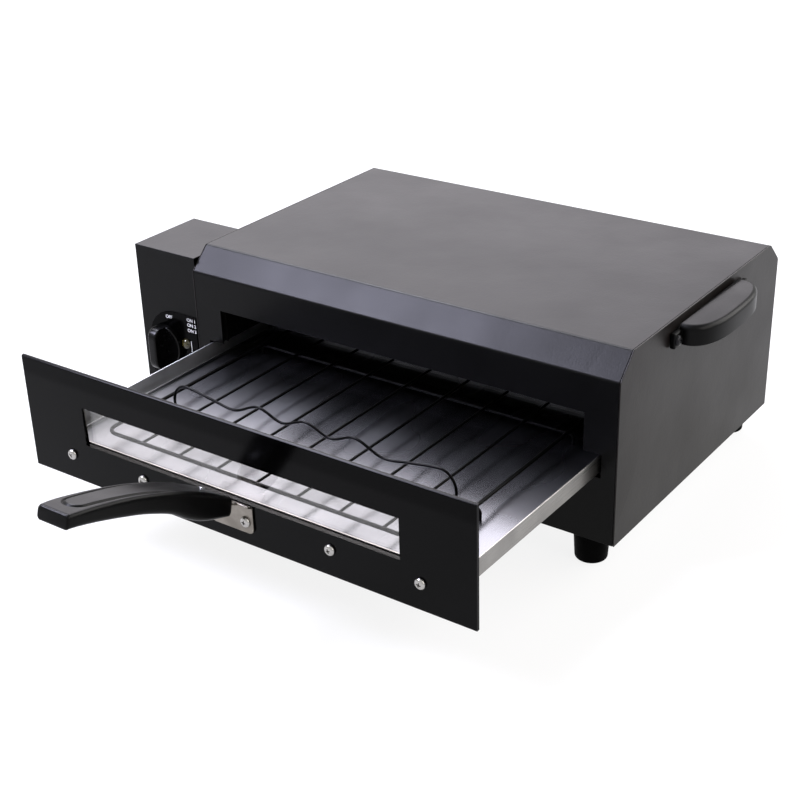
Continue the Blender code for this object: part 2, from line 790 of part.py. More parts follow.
def cover_screws(oven, cover, ends):
    """Screws through the back of the cover into the lips of both ends."""
    x_left = COVER_SHEET + END_LIP / 2
    places = []
    for x in (x_left, BODY_WIDTH - x_left):
        for z in (COVER_SCREW_LOW_Z, COVER_SCREW_HIGH_Z):
            places.append((x, BODY_DEPTH + SEAT_GAP, z))
    drill([cover] + ends, places, AXIS_Y, SCREW_HOLE_RADIUS, COVER_SCREW_LENGTH + CUT_OVERRUN, oven)
    turned_set("cover_screw", pan_screw_profile(COVER_SCREW_LENGTH), places, AXIS_Y, oven,
               zinc_steel("cover_screw_steel"))


def drawer_guide(name, outer_x, inward, oven):
    """A channel on an end's inner face: the drawer rail runs between its lips."""
    back_x = outer_x + inward * (COVER_SHEET + SEAT_GAP)
    lip_x = back_x + inward * GUIDE_LIP
    path = [(lip_x, GUIDE_BOTTOM), (back_x, GUIDE_BOTTOM), (back_x, GUIDE_TOP), (lip_x, GUIDE_TOP)]
    outline = folded_sheet(path, COVER_SHEET * inward)
    front = END_LIP_BACK + SEAT_GAP
    rear = BODY_DEPTH - front
    return loft(name, [along_y(outline, front), along_y(outline, rear)], oven, zinc_steel(name + "_steel"))


def reflector(name, floor, rim, oven, material):
    """A folded sheet tub, open at its rim, with a flange along each side of the rim."""
    inward = LINER_SHEET if rim > floor else -LINER_SHEET
    half = CHAMBER_WIDTH / 2

    def ring(inset, z):
        low = (MIDDLE_X - half + inset, CHAMBER_FRONT + inset)
        high = (MIDDLE_X + half - inset, CHAMBER_REAR - inset)
        return along_z([low, (high[0], low[1]), high, (low[0], high[1])], z)

    rings = [ring(0, floor), ring(0, rim), ring(LINER_SHEET, rim), ring(LINER_SHEET, floor + inward)]
    tub = loft(name, rings, oven, material)
    flange_z = sorted((rim, rim - inward))
    flanges = []
    for side in (-1, 1):
        outer = MIDDLE_X + side * (half + LINER_FLANGE)
        inner = MIDDLE_X + side * (half - LINER_SHEET / 2)
        xs = sorted((outer, inner))
        flanges.append(((xs[0], CHAMBER_FRONT + UNION_BITE, flange_z[0]),
                        (xs[1], CHAMBER_REAR - UNION_BITE, flange_z[1])))
    unite(tub, blocks(name + "_flanges", flanges, oven))
    return tub


def reflector_hood(oven):
    """Upper half of the chamber, open below, cut away behind the mouth."""
    hood = reflector("reflector_hood", HOOD_TOP, HOOD_FLANGE_Z, oven,
                     paint("hood_aluminised_steel", (0.42, 0.42, 0.41), 0.38, 1.0))
    low = (MIDDLE_X - MOUTH_WIDTH / 2, CHAMBER_FRONT - CUT_OVERRUN, HOOD_FLANGE_Z - CUT_OVERRUN)
    high = (MIDDLE_X + MOUTH_WIDTH / 2, CHAMBER_FRONT + LINER_SHEET + CUT_OVERRUN, MOUTH_TOP)
    cut(hood, block("hood_mouth_cutter", low, high, oven))
    return hood


def reflector_pan(oven):
    """Lower half of the chamber, open above."""
    return reflector("reflector_pan", LOWER_PAN_BOTTOM, PAN_FLANGE_TOP, oven,
                     paint("pan_aluminised_steel", (0.40, 0.40, 0.39), 0.40, 1.0))


def heater_path(z):
    corners = [
        (-HEATER_END_OUT, HEATER_FIRST_Y, z), (HEATER_RIGHT_X, HEATER_FIRST_Y, z),
        (HEATER_RIGHT_X, HEATER_REAR_Y, z), (HEATER_SIDE, HEATER_REAR_Y, z),
        (HEATER_SIDE, HEATER_MIDDLE_Y, z), (HEATER_INNER_X, HEATER_MIDDLE_Y, z),
        (HEATER_INNER_X, HEATER_LAST_Y, z), (-HEATER_END_OUT, HEATER_LAST_Y, z),
    ]
    return rounded(corners, HEATER_BEND, HEATER_BEND_STEPS)


def heaters(oven, hood, pan, left_end):
    """An upper and a lower rod element whose ends reach into the control box."""
    wall_x = MIDDLE_X - CHAMBER_WIDTH / 2
    ends_y = (HEATER_FIRST_Y, HEATER_LAST_Y)
    for word, z, liner in (("upper", UPPER_HEATER_Z, hood), ("lower", LOWER_HEATER_Z, pan)):
        tubes(word + "_heater", heater_path(z), HEATER_RADIUS, oven,
              paint(word + "_heater_sheath", (0.10, 0.10, 0.095), 0.50, 0.8))
        plate = heater_plate(word + "_heater_plate", z, oven)
        drill([liner], [(wall_x, y, z) for y in ends_y], AXIS_X, HEATER_RADIUS + SEAT_GAP,
              LINER_SHEET + CUT_OVERRUN * 2, oven)
        drill([left_end, plate], [(0, y, z) for y in ends_y], AXIS_X, HEATER_RADIUS + SEAT_GAP,
              DRILL_REACH, oven)


def heater_plate(name, z, oven):
    """Plate on the outside of the oven's left end that carries both ends of one element."""
    right = -SEAT_GAP
    half = HEATER_PLATE_HEIGHT / 2
    low = (right - HEATER_PLATE, HEATER_FIRST_Y - HEATER_PLATE_MARGIN, z - half)
    high = (right, HEATER_LAST_Y + HEATER_PLATE_MARGIN, z + half)
    return block(name, low, high, oven, zinc_steel(name + "_steel"))


# Control box

def control_box(oven):
    """Five folded sides, open towards the oven's left end."""
    def ring(inset, x):
        y0 = BOX_FRONT + inset
        y1 = BOX_REAR - inset
        z0 = BOX_BOTTOM + inset
        z1 = BOX_TOP - inset
        return [(x, y0, z0), (x, y1, z0), (x, y1, z1), (x, y0, z1)]

    rings = [
        ring(0, BOX_LEFT_X), ring(0, BOX_RIGHT_X), ring(COVER_SHEET, BOX_RIGHT_X),
        ring(COVER_SHEET, BOX_LEFT_X + COVER_SHEET),
    ]
    return loft("control_box", rings, oven, black_paint("control_box_black_paint"))


def box_bracket(oven, box):
    """An angle on the oven's end that the box's back is screwed to."""
    corner_x = -SEAT_GAP
    rear_y = BOX_REAR - COVER_SHEET - SEAT_GAP
    path = [(corner_x - BOX_BRACKET_LEG, rear_y), (corner_x, rear_y), (corner_x, rear_y - BOX_BRACKET_LEG)]
    outline = folded_sheet(path, COVER_SHEET)
    rings = [along_z(outline, z) for z in (BOX_BRACKET_BOTTOM, BOX_BRACKET_TOP)]
    bracket = loft("box_bracket", rings, oven, zinc_steel("box_bracket_steel"))
    x = corner_x - BOX_BRACKET_LEG / 2
    quarter = (BOX_BRACKET_TOP - BOX_BRACKET_BOTTOM) / 4
    places = [(x, BOX_REAR + SEAT_GAP, z) for z in (BOX_BRACKET_BOTTOM + quarter, BOX_BRACKET_TOP - quarter)]
    drill([box, bracket], places, AXIS_Y, SCREW_HOLE_RADIUS, COVER_SCREW_LENGTH + CUT_OVERRUN, oven)
    turned_set("box_screw", pan_screw_profile(COVER_SCREW_LENGTH), places, AXIS_Y, oven,
               zinc_steel("box_screw_steel"))


def dial_plate(oven):
    """Glossy plate behind the knob and the lamp, with one large round corner."""
    left = -DIAL_LEFT
    right = -DIAL_RIGHT
    plain = [(left, DIAL_BOTTOM), (right, DIAL_BOTTOM), (right, DIAL_TOP)]
    corner = arc_corner(Vector((right, DIAL_TOP)), Vector((left, DIAL_TOP)), Vector((left, DIAL_BOTTOM)),
                        DIAL_ROUND, BEND_STEPS * 2)
    outline = plain + corner
    return loft("dial_plate", [along_y(outline, DIAL_FACE_Y), along_y(outline, DIAL_BACK_Y)], oven,
                paint("dial_gloss_black", (0.004, 0.004, 0.004), 0.12))


def switch_and_knob(oven, box, dial):
    """Rotary switch behind the box's front, with its nut, shaft and knob."""
    axis_place = (-KNOB_X, 0, KNOB_Z)
    knob_carrier = Carrier("knob_axis", (-KNOB_X, KNOB_BACK_Y, KNOB_Z), oven)
    body_front = BOX_INNER_FRONT + SEAT_GAP
    half = SWITCH_SIZE / 2
    switch = block("rotary_switch", (-KNOB_X - half, body_front, KNOB_Z - half),
                   (-KNOB_X + half, body_front + SWITCH_DEPTH, KNOB_Z + half), oven,
                   paint("switch_dark_plastic", (0.05, 0.04, 0.03), 0.50))
    bushing_y = DIAL_FACE_Y - BUSHING_REACH
    bushing = turned("switch_bushing", rod_profile(BUSHING_RADIUS, bushing_y, body_front + UNION_BITE),
                     axis_place, AXIS_Y, oven)
    unite(switch, bushing)
    shaft_end_y = body_front + SHAFT_SWITCH_DEPTH
    shaft_front_y = KNOB_BACK_Y - SHAFT_KNOB_DEPTH
    bore_low = bushing_y - CUT_OVERRUN
    bore = turned("switch_bore", rod_profile(SHAFT_RADIUS + SEAT_GAP, bore_low, shaft_end_y + SEAT_GAP),
                  axis_place, AXIS_Y, oven)
    cut(switch, bore)
    hole_radius = BUSHING_RADIUS + SEAT_GAP
    drill([box, dial], [(-KNOB_X, BOX_FRONT, KNOB_Z)], AXIS_Y, hole_radius, DRILL_REACH, oven)
    nut_place = (-KNOB_X, DIAL_FACE_Y - SEAT_GAP, KNOB_Z)
    nut = turned("switch_nut", rod_profile(SWITCH_NUT_RADIUS, -SWITCH_NUT_HEIGHT, 0), nut_place, AXIS_Y, oven,
                 zinc_steel("switch_nut_steel"), HEX_SIDES)
    drill([nut], [nut_place], AXIS_Y, hole_radius, DRILL_REACH, oven)
    turned("selector_shaft", rod_profile(SHAFT_RADIUS, shaft_front_y, shaft_end_y), axis_place, AXIS_Y,
           knob_carrier, zinc_steel("selector_shaft_steel"))
    selector_knob(knob_carrier, axis_place, shaft_front_y)


def selector_knob(knob_carrier, axis_place, shaft_front_y):
    """Round skirt with a raised finger bar that stands upright at rest."""
    edge_y = KNOB_SKIRT_Y + KNOB_EDGE
    skirt = [(0, KNOB_BACK_Y), (KNOB_RADIUS, KNOB_BACK_Y), (KNOB_RADIUS, edge_y),
             (KNOB_RADIUS - KNOB_EDGE, KNOB_SKIRT_Y), (0, KNOB_SKIRT_Y)]
    knob = turned("selector_knob", skirt, axis_place, AXIS_Y, knob_carrier,
                  paint("knob_black_plastic", (0.012, 0.012, 0.013), 0.30))

    def bar_ring(inset, y):
        reach = KNOB_BAR_LENGTH / 2 - inset
        spread = math.asin((KNOB_BAR_WIDTH / 2 - inset) / reach)
        points = []
        for middle in (math.pi / 2, -math.pi / 2):
            for step in range(BAR_END_STEPS + 1):
                angle = middle - spread + 2 * spread * step / BAR_END_STEPS
                points.append((-KNOB_X + reach * math.cos(angle), y, KNOB_Z + reach * math.sin(angle)))
        return points

    bar = loft("knob_bar", [bar_ring(0, KNOB_SKIRT_Y + UNION_BITE), bar_ring(0, KNOB_FACE_Y + KNOB_BAR_EDGE),
                            bar_ring(KNOB_BAR_EDGE, KNOB_FACE_Y)], knob_carrier)
    unite(knob, bar)
    recess_y = KNOB_BACK_Y - KNOB_RECESS_DEPTH
    recess = turned("knob_recess", rod_profile(KNOB_RECESS_RADIUS, recess_y, KNOB_BACK_Y + CUT_OVERRUN),
                    axis_place, AXIS_Y, knob_carrier)
    cut(knob, recess)
    bore = turned("knob_bore", rod_profile(SHAFT_RADIUS + SEAT_GAP, shaft_front_y - SEAT_GAP,
                                           KNOB_BACK_Y + CUT_OVERRUN),
                  axis_place, AXIS_Y, knob_carrier)
    cut(knob, bore)


def indicator_lamp(oven, box, dial):
    """A lens with a long stem, held by a push-on ring behind the panel."""
    place = (-LAMP_X, 0, LAMP_Z)
    seat_y = DIAL_FACE_Y - SEAT_GAP
    rim_y = seat_y - LAMP_RIM
    dome_shares = ((1.00, 0.00), (0.82, 0.55), (0.45, 0.90), (0.00, 1.00))
    lens = [(0, seat_y + LAMP_STEM), (LAMP_STEM_RADIUS, seat_y + LAMP_STEM), (LAMP_STEM_RADIUS, seat_y),
            (LAMP_RADIUS, seat_y)]
    lens += [(LAMP_RADIUS * wide, rim_y - (LAMP_DOME - LAMP_RIM) * out) for wide, out in dome_shares]
    turned("lamp_lens", lens, place, AXIS_Y, oven, paint("lamp_amber_lens", (0.20, 0.11, 0.01), 0.15))
    hole_radius = LAMP_STEM_RADIUS + SEAT_GAP
    drill([box, dial], [(-LAMP_X, BOX_FRONT, LAMP_Z)], AXIS_Y, hole_radius, DRILL_REACH, oven)
    start = BOX_INNER_FRONT + SEAT_GAP
    holder = ring_profile(hole_radius, LAMP_HOLDER_RADIUS, start, start + LAMP_HOLDER_LENGTH)
    turned("lamp_ring", holder, place, AXIS_Y, oven,
           paint("lamp_ring_black_plastic", (0.02, 0.02, 0.02), 0.45))


def mains_inlet(oven, box):
    """Socket for a detachable lead, with three blades; it snaps into the back of the box."""
    middle_x = BOX_LEFT_X / 2
    face_y = BOX_REAR + SEAT_GAP

    def centred(width, height, y0, y1):
        low = (middle_x - width / 2, y0, INLET_Z - height / 2)
        high = (middle_x + width / 2, y1, INLET_Z + height / 2)
        return low, high

    flange_y = face_y + INLET_FLANGE
    inlet = block("mains_inlet", *centred(INLET_WIDTH, INLET_HEIGHT, face_y - INLET_DEPTH, flange_y), oven,
                  paint("inlet_black_plastic", (0.015, 0.015, 0.015), 0.45))
    flange = centred(INLET_FLANGE_WIDTH, INLET_FLANGE_HEIGHT, face_y, flange_y)
    unite(inlet, block("inlet_flange", *flange, oven))
    socket_floor = flange_y - SOCKET_DEPTH
    socket = centred(SOCKET_WIDTH, SOCKET_HEIGHT, socket_floor, flange_y + CUT_OVERRUN)
    cut(inlet, block("inlet_socket", *socket, oven))
    gap = SEAT_GAP * 2
    hole_y = BOX_REAR - COVER_SHEET - CUT_OVERRUN
    hole = centred(INLET_WIDTH + gap, INLET_HEIGHT + gap, hole_y, BOX_REAR + CUT_OVERRUN)
    cut(box, block("inlet_hole", *hole, oven))
    start = socket_floor + SEAT_GAP
    places = (("live", -SOCKET_PIN_PITCH, -SOCKET_PIN_DROP), ("earth", 0, SOCKET_PIN_DROP),
              ("neutral", SOCKET_PIN_PITCH, -SOCKET_PIN_DROP))
    nickel = zinc_steel("inlet_pin_nickel")
    for word, across, rise in places:
        x = middle_x + across
        z = INLET_Z + rise
        low = (x - SOCKET_PIN_WIDTH / 2, start, z - SOCKET_PIN_HEIGHT / 2)
        high = (x + SOCKET_PIN_WIDTH / 2, start + SOCKET_PIN_LENGTH, z + SOCKET_PIN_HEIGHT / 2)
        block("inlet_pin_" + word, low, high, oven, nickel)


# Carry handle on the right end

def carry_outline(inset, chord_x):
    """A flat side towards the oven and a bulged side away from it."""
    half = CARRY_LENGTH / 2 - inset
    reach = CARRY_REACH - CARRY_STANDOFF - inset
    middle_y = BODY_DEPTH / 2
    steps = FINE_SEGMENTS // 2
    points = []
    for step in range(steps + 1):
        angle = math.pi * step / steps
        along = math.copysign(abs(math.cos(angle)) ** (2 / CARRY_POWER), math.cos(angle))
        out = math.sin(angle) ** (2 / CARRY_POWER) if 0 < step < steps else 0
        x = max(chord_x, BODY_WIDTH + CARRY_STANDOFF + reach * out)
        points.append((x, middle_y + half * along))
    points.append((chord_x, middle_y - half))
    points.append((chord_x, middle_y + half))
    return points


def carry_handle(oven, right_end):
    """Cupped grip with a lug at each end, screwed through the end panel."""
    chord = BODY_WIDTH + CARRY_STANDOFF - UNION_BITE
    bulge_top = CARRY_TOP - CARRY_ROUND
    rings = [along_z(carry_outline(0, chord), CARRY_BOTTOM)]
    for inward, upward in CARRY_CROWN_SHARES:
        rings.append(along_z(carry_outline(CARRY_ROUND * inward, chord), bulge_top + CARRY_ROUND * upward))
    handle = loft("carry_handle", rings, oven, bakelite("carry_handle_bakelite"), smooth=True)
    inner_chord = BODY_WIDTH - CUT_OVERRUN
    hollow = loft("carry_hollow", [
        along_z(carry_outline(CARRY_WALL, inner_chord), CARRY_BOTTOM - CUT_OVERRUN),
        along_z(carry_outline(CARRY_WALL, inner_chord), CARRY_TOP - CARRY_WALL),
    ], oven)
    middle_y = BODY_DEPTH / 2
    half = CARRY_LENGTH / 2
    lug_x0 = BODY_WIDTH + SEAT_GAP
    lug_x1 = lug_x0 + CARRY_LUG_THICKNESS
    lugs = []
    for side in (-1, 1):
        outer_y = middle_y + side * (half + CARRY_LUG_OUT)
        lug_y = sorted((outer_y, outer_y - side * CARRY_LUG_LENGTH))
        lugs.append(((lug_x0, lug_y[0], CARRY_BOTTOM), (lug_x1, lug_y[1], bulge_top)))
    cut(handle, hollow)
    unite(handle, blocks("carry_lugs", lugs, oven))
    screw_y = half + CARRY_LUG_OUT - CARRY_SCREW_OUT
    screw_z = (CARRY_BOTTOM + bulge_top) / 2
    places = [(lug_x1 + SEAT_GAP, middle_y + side * screw_y, screw_z) for side in (-1, 1)]
    drill([handle, right_end], places, AXIS_X, SCREW_HOLE_RADIUS, CARRY_SCREW_LENGTH * 2, oven)
    turned_set("carry_screw", pan_screw_profile(CARRY_SCREW_LENGTH), places, AXIS_X, oven,
               paint("carry_screw_black_steel", (0.03, 0.03, 0.03), 0.40, 0.8))


# Drawer

def panel_ring(y, bottom, top, half_width):
    return box_ring((MIDDLE_X - half_width, bottom), (MIDDLE_X + half_width, top), y)


def drawer_front(drawer):
    """Flat front with a narrow rolled lip and a window whose edges are turned back."""
    half = PANEL_WIDTH / 2
    rings = []
    for step in range(ROLL_STEPS + 1):
        angle = math.pi / 2 * step / ROLL_STEPS
        y = PANEL_FACE_Y + PANEL_ROLL * (1 - math.cos(angle))
        top = PANEL_TOP - PANEL_ROLL * (1 - math.sin(angle))
        rings.append(panel_ring(y, PANEL_BOTTOM, top, half))
    back_y = PANEL_FACE_Y + PANEL_RETURN
    rings.append(panel_ring(back_y, PANEL_BOTTOM, PANEL_TOP, half))
    inner_half = half - COVER_SHEET
    inner_bottom = PANEL_BOTTOM + COVER_SHEET
    inner_top = PANEL_TOP - COVER_SHEET
    inner_roll = PANEL_ROLL - COVER_SHEET
    rings.append(panel_ring(back_y, inner_bottom, inner_top, inner_half))
    for step in range(ROLL_STEPS, -1, -1):
        angle = math.pi / 2 * step / ROLL_STEPS
        y = PANEL_INNER_Y + inner_roll * (1 - math.cos(angle))
        top = inner_top - inner_roll * (1 - math.sin(angle))
        rings.append(panel_ring(y, inner_bottom, top, inner_half))
    front = loft("drawer_front", rings, drawer, black_paint("drawer_front_black_paint"))
    left, right = mirrored_x(WINDOW_WIDTH / 2)
    edge_y = PANEL_INNER_Y + WINDOW_FLANGE
    frame_low = (left - COVER_SHEET, PANEL_INNER_Y - UNION_BITE, WINDOW_BOTTOM - COVER_SHEET)
    frame_high = (right + COVER_SHEET, edge_y, WINDOW_TOP + COVER_SHEET)
    unite(front, block("window_frame", frame_low, frame_high, drawer))
    hole_low = (left, PANEL_FACE_Y - CUT_OVERRUN, WINDOW_BOTTOM)
    hole_high = (right, edge_y + CUT_OVERRUN, WINDOW_TOP)
    cut(front, block("window_hole", hole_low, hole_high, drawer))
    return front


def window_glass(drawer):
    half = WINDOW_WIDTH / 2 + GLASS_LAP
    low = (MIDDLE_X - half, GLASS_FRONT_Y, WINDOW_BOTTOM - GLASS_LAP)
    high = (MIDDLE_X + half, GLASS_FRONT_Y + GLASS_THICKNESS, WINDOW_TOP + GLASS_LAP)
    return block("window_glass", low, high, drawer,
                 paint("window_clear_glass", (0.85, 0.90, 0.88), 0.05, 0.0, 0.35))


def glass_retainer(drawer):
    """Shallow folded frame that presses the glass against the window's turned edges."""
    half = RETAINER_WIDTH / 2
    rim_y = PANEL_INNER_Y + SEAT_GAP
    inner_half = half - COVER_SHEET
    inner_bottom = RETAINER_BOTTOM + COVER_SHEET
    inner_top = RETAINER_TOP - COVER_SHEET
    rings = [
        panel_ring(RETAINER_BACK_Y, RETAINER_BOTTOM, RETAINER_TOP, half),
        panel_ring(rim_y, RETAINER_BOTTOM, RETAINER_TOP, half),
        panel_ring(rim_y, inner_bottom, inner_top, inner_half),
        panel_ring(RETAINER_FACE_Y, inner_bottom, inner_top, inner_half),
    ]
    retainer = loft("glass_retainer", rings, drawer, stainless("retainer_stainless"))
    hole_low = (MIDDLE_X - WINDOW_WIDTH / 2, RETAINER_FACE_Y - CUT_OVERRUN / 2, WINDOW_BOTTOM)
    hole_high = (MIDDLE_X + WINDOW_WIDTH / 2, RETAINER_BACK_Y + CUT_OVERRUN, WINDOW_TOP)
    cut(retainer, block("retainer_hole", hole_low, hole_high, drawer))
    return retainer


def drawer_rail(name, side, drawer):
    """Angle rail with a ledge for the tray, a front tab and a stop near its rear."""
    wall_outer = MIDDLE_X + side * RAIL_SPAN / 2
    wall_inner = wall_outer - side * COVER_SHEET
    ledge_x = wall_outer - side * RAIL_LEDGE
    path = [(wall_outer, RAIL_TOP), (wall_outer, RAIL_BOTTOM), (ledge_x, RAIL_BOTTOM)]
    outline = folded_sheet(path, -COVER_SHEET if side < 0 else COVER_SHEET)
    rail = loft(name, [along_y(outline, RAIL_FRONT_Y), along_y(outline, RAIL_REAR_Y)], drawer,
                stainless(name + "_stainless"))
    tab_x = sorted((wall_outer, wall_outer - side * RAIL_TAB_WIDTH))
    tab_low = (tab_x[0], RAIL_FRONT_Y, RAIL_BOTTOM - RAIL_TAB_DROP)
    tab_high = (tab_x[1], RAIL_FRONT_Y + COVER_SHEET, RAIL_TOP)
    stop_x = sorted((wall_outer + side * STOP_REACH, wall_inner))
    stop_y = END_LIP_BACK + SEAT_GAP + STOP_TRAVEL
    stop_low = (stop_x[0], stop_y, RAIL_BOTTOM + STOP_DROP)
    stop_high = (stop_x[1], stop_y + STOP_LENGTH, RAIL_TOP - STOP_DROP)
    unite(rail, blocks(name + "_tabs", [(tab_low, tab_high), (stop_low, stop_high)], drawer))
    return rail


def tray_pan(drawer):
    """Thin floor sheet on the rails' ledges, with a low lip folded up all round."""
    def ring(inset, z):
        left, right = mirrored_x(TRAY_HALF - inset)
        front = TRAY_FRONT_Y + inset
        rear = TRAY_REAR_Y - inset
        return along_z([(left, front), (right, front), (right, rear), (left, rear)], z)

    rim = TRAY_BOTTOM + TRAY_LIP
    rings = [ring(0, TRAY_BOTTOM), ring(0, rim), ring(LINER_SHEET, rim), ring(LINER_SHEET, TRAY_FLOOR)]
    return loft("tray_pan", rings, drawer, stainless("tray_stainless"))


def panel_screws(drawer, front, retainer, rails):
    """Four domed screws in a row; the outer two also hold the rails."""
    xs = mirrored_x(PANEL_SCREW_OUTER) + mirrored_x(PANEL_SCREW_INNER)
    head_y = PANEL_FACE_Y - SEAT_GAP
    places = [(x, head_y, PANEL_SCREW_Z) for x in xs]
    length = RAIL_FRONT_Y + COVER_SHEET + SCREW_TAIL - head_y
    drill([front, retainer] + rails, places, AXIS_Y, SCREW_HOLE_RADIUS, length * 2 + CUT_OVERRUN, drawer)
    turned_set("panel_screw", pan_screw_profile(length, head_height=DOME_HEIGHT), places, -AXIS_Y, drawer,
               stainless("panel_screw_stainless"))


def tongue_direction():
    rise = math.radians(TONGUE_RISE_DEGREES)
    return Vector((-math.cos(rise), math.sin(rise)))


def handle_bracket(drawer, front):
    """Steel plate on the drawer front whose upper edge folds out into a tongue."""
    back_y = PANEL_FACE_Y - SEAT_GAP
    bend = Vector((back_y, BRACKET_TOP))
    path = [Vector((back_y, BRACKET_BOTTOM)), bend, bend + tongue_direction() * TONGUE_LENGTH]
    outline = folded_sheet(rounded(path, BRACKET_BEND), -BRACKET_SHEET)
    half = BRACKET_WIDTH / 2
    rings = [along_x(outline, MIDDLE_X - half), along_x(outline, MIDDLE_X + half)]
    bracket = loft("handle_bracket", rings, drawer, stainless("bracket_stainless"))
    shoulder_y = back_y - BRACKET_SHEET - BRACKET_SHOULDER
    far_y = back_y - TONGUE_LENGTH - CUT_OVERRUN
    high_z = BRACKET_TOP + TONGUE_LENGTH
    sides = []
    for side in (-1, 1):
        xs = sorted((MIDDLE_X + side * TONGUE_WIDTH / 2, MIDDLE_X + side * (half + CUT_OVERRUN)))
        sides.append(((xs[0], far_y, BRACKET_BOTTOM), (xs[1], shoulder_y, high_z)))
    cut(bracket, blocks("bracket_side_cutter", sides, drawer))
    corners = []
    for side in (-1, 1):
        edge = Vector((MIDDLE_X + side * half, BRACKET_BOTTOM))
        arc = arc_corner(edge + Vector((0, half)), edge, edge - Vector((side * half, 0)), BRACKET_CORNER,
                         BEND_STEPS)
        outside = edge + Vector((side * CUT_OVERRUN, -CUT_OVERRUN))
        above = Vector((outside[0], arc[0][1]))
        below = Vector((arc[-1][0], outside[1]))
        corners.append([above] + arc + [below, outside])
    bm = bmesh.new()
    near_y = back_y + SEAT_GAP / 2
    for outline in corners:
        rings = [along_y(outline, back_y - BRACKET_SHEET - CUT_OVERRUN), along_y(outline, near_y)]
        loft_into(bm, [[Vector(point) - drawer.place for point in ring] for ring in rings])
    cutter_mesh = mesh_from("bracket_corner_cutter", bm)
    cut(bracket, add_object("bracket_corner_cutter", cutter_mesh, drawer, drawer.place, None))
    head_y = back_y - BRACKET_SHEET - SEAT_GAP
    places = [(x, head_y, BRACKET_SCREW_Z) for x in mirrored_x(BRACKET_SCREW_OFFSET)]
    length = PANEL_INNER_Y + SCREW_TAIL - head_y
    drill([bracket, front], places, AXIS_Y, SCREW_HOLE_RADIUS, length * 2 + CUT_OVERRUN, drawer)
    turned_set("bracket_screw", pan_screw_profile(length), places, -AXIS_Y, drawer,
               stainless("bracket_screw_stainless"))
    return bracket


def handle_section(top, under, half_width):
    """One cross-section of the drawer handle, with round corners."""
    round_size = HANDLE_ROUND_SHARE * HANDLE_WIDTH
    height = (top - under).length
    up = (top - under).normalized()
    corners = [(-half_width, 0), (half_width, 0), (half_width, height), (-half_width, height)]
    outline = rounded(corners, min(round_size, height * HANDLE_ROUND_LIMIT_SHARE), BEND_STEPS, closed=True)
    return [(MIDDLE_X + across, under[0] + up[0] * rise, under[1] + up[1] * rise) for across, rise in outline]


def drawer_handle(drawer, bracket):
    """Moulded grip that climbs away from the drawer and levels out towards its tip."""
    def side_point(share):
        return Vector((HANDLE_ROOT_Y - HANDLE_REACH * share[0], HANDLE_ROOT_Z + HANDLE_RISE * share[1]))

    rings = []
    for top, under, wide in zip(HANDLE_TOP_SHARES, HANDLE_UNDER_SHARES, HANDLE_WIDTH_SHARES):
        rings.append(handle_section(side_point(top), side_point(under), HANDLE_WIDTH * wide / 2))
    handle = loft("drawer_handle", rings, drawer, bakelite("drawer_handle_bakelite"), smooth=True)
    along = tongue_direction()
    below = Vector((-along[1], along[0]))
    start = Vector((PANEL_FACE_Y - SEAT_GAP, BRACKET_TOP))
    end = start + along * (TONGUE_LENGTH + SEAT_GAP)
    slot = [start - below * SEAT_GAP, end - below * SEAT_GAP, end + below * (BRACKET_SHEET + SEAT_GAP),
            start + below * (BRACKET_SHEET + SEAT_GAP)]
    half = TONGUE_WIDTH / 2 + SEAT_GAP
    cut(handle, loft("handle_slot", [along_x(slot, MIDDLE_X - half), along_x(slot, MIDDLE_X + half)], drawer))
    at = start + along * HANDLE_SCREW_AT
    axis = Vector((0, below[0], below[1]))
    half_length = HANDLE_SCREW_LENGTH / 2
    head = at + below * half_length
    drill([bracket], [(MIDDLE_X, at[0], at[1])], axis, SCREW_HOLE_RADIUS, DRILL_REACH, drawer)
    pocket_profile = [
        (0, -HANDLE_SCREW_LENGTH - SEAT_GAP), (SCREW_HOLE_RADIUS, -HANDLE_SCREW_LENGTH - SEAT_GAP),
        (SCREW_HOLE_RADIUS, -SEAT_GAP), (SCREW_HEAD_RADIUS + SEAT_GAP, -SEAT_GAP),
        (SCREW_HEAD_RADIUS + SEAT_GAP, HANDLE_SCREW_LENGTH), (0, HANDLE_SCREW_LENGTH),
    ]
    spot = (MIDDLE_X, head[0], head[1])
    cut(handle, turned("handle_screw_pocket", pocket_profile, spot, axis, drawer, segments=SCREW_SEGMENTS))
    turned("handle_screw", pan_screw_profile(HANDLE_SCREW_LENGTH), spot, axis, drawer,
           zinc_steel("handle_screw_steel"), SCREW_SEGMENTS)


# Wire grill that stands in the tray

def grill_frame_path():
    half = GRILL_WIDTH / 2
    corners = [
        (MIDDLE_X - half, GRILL_FRONT_Y, GRILL_HEIGHT), (MIDDLE_X + half, GRILL_FRONT_Y, GRILL_HEIGHT),
        (MIDDLE_X + half, GRILL_REAR_Y, GRILL_HEIGHT), (MIDDLE_X - half, GRILL_REAR_Y, GRILL_HEIGHT),
    ]
    return rounded(corners, GRILL_CORNER, HEATER_BEND_STEPS, closed=True)


def grill_bar_paths():
    """Straight wires from front to back, welded inside the frame."""
    pitch = GRILL_WIDTH / (GRILL_BARS - 1)
    paths = []
    for index in range(1, GRILL_BARS - 1):
        x = MIDDLE_X - GRILL_WIDTH / 2 + pitch * index
        paths.append([(x, GRILL_FRONT_Y, GRILL_BAR_Z), (x, GRILL_REAR_Y, GRILL_BAR_Z)])
    return paths


def cross_wire_path(y):
    """Wire under the bars whose ends turn down into short feet."""
    half = GRILL_WIDTH / 2 + CROSS_OVERHANG
    foot_z = TRAY_FLOOR + SEAT_GAP
    corners = [(MIDDLE_X - half, y, foot_z), (MIDDLE_X - half, y, CROSS_Z), (MIDDLE_X + half, y, CROSS_Z),
               (MIDDLE_X + half, y, foot_z)]
    return rounded(corners, CROSS_BEND)


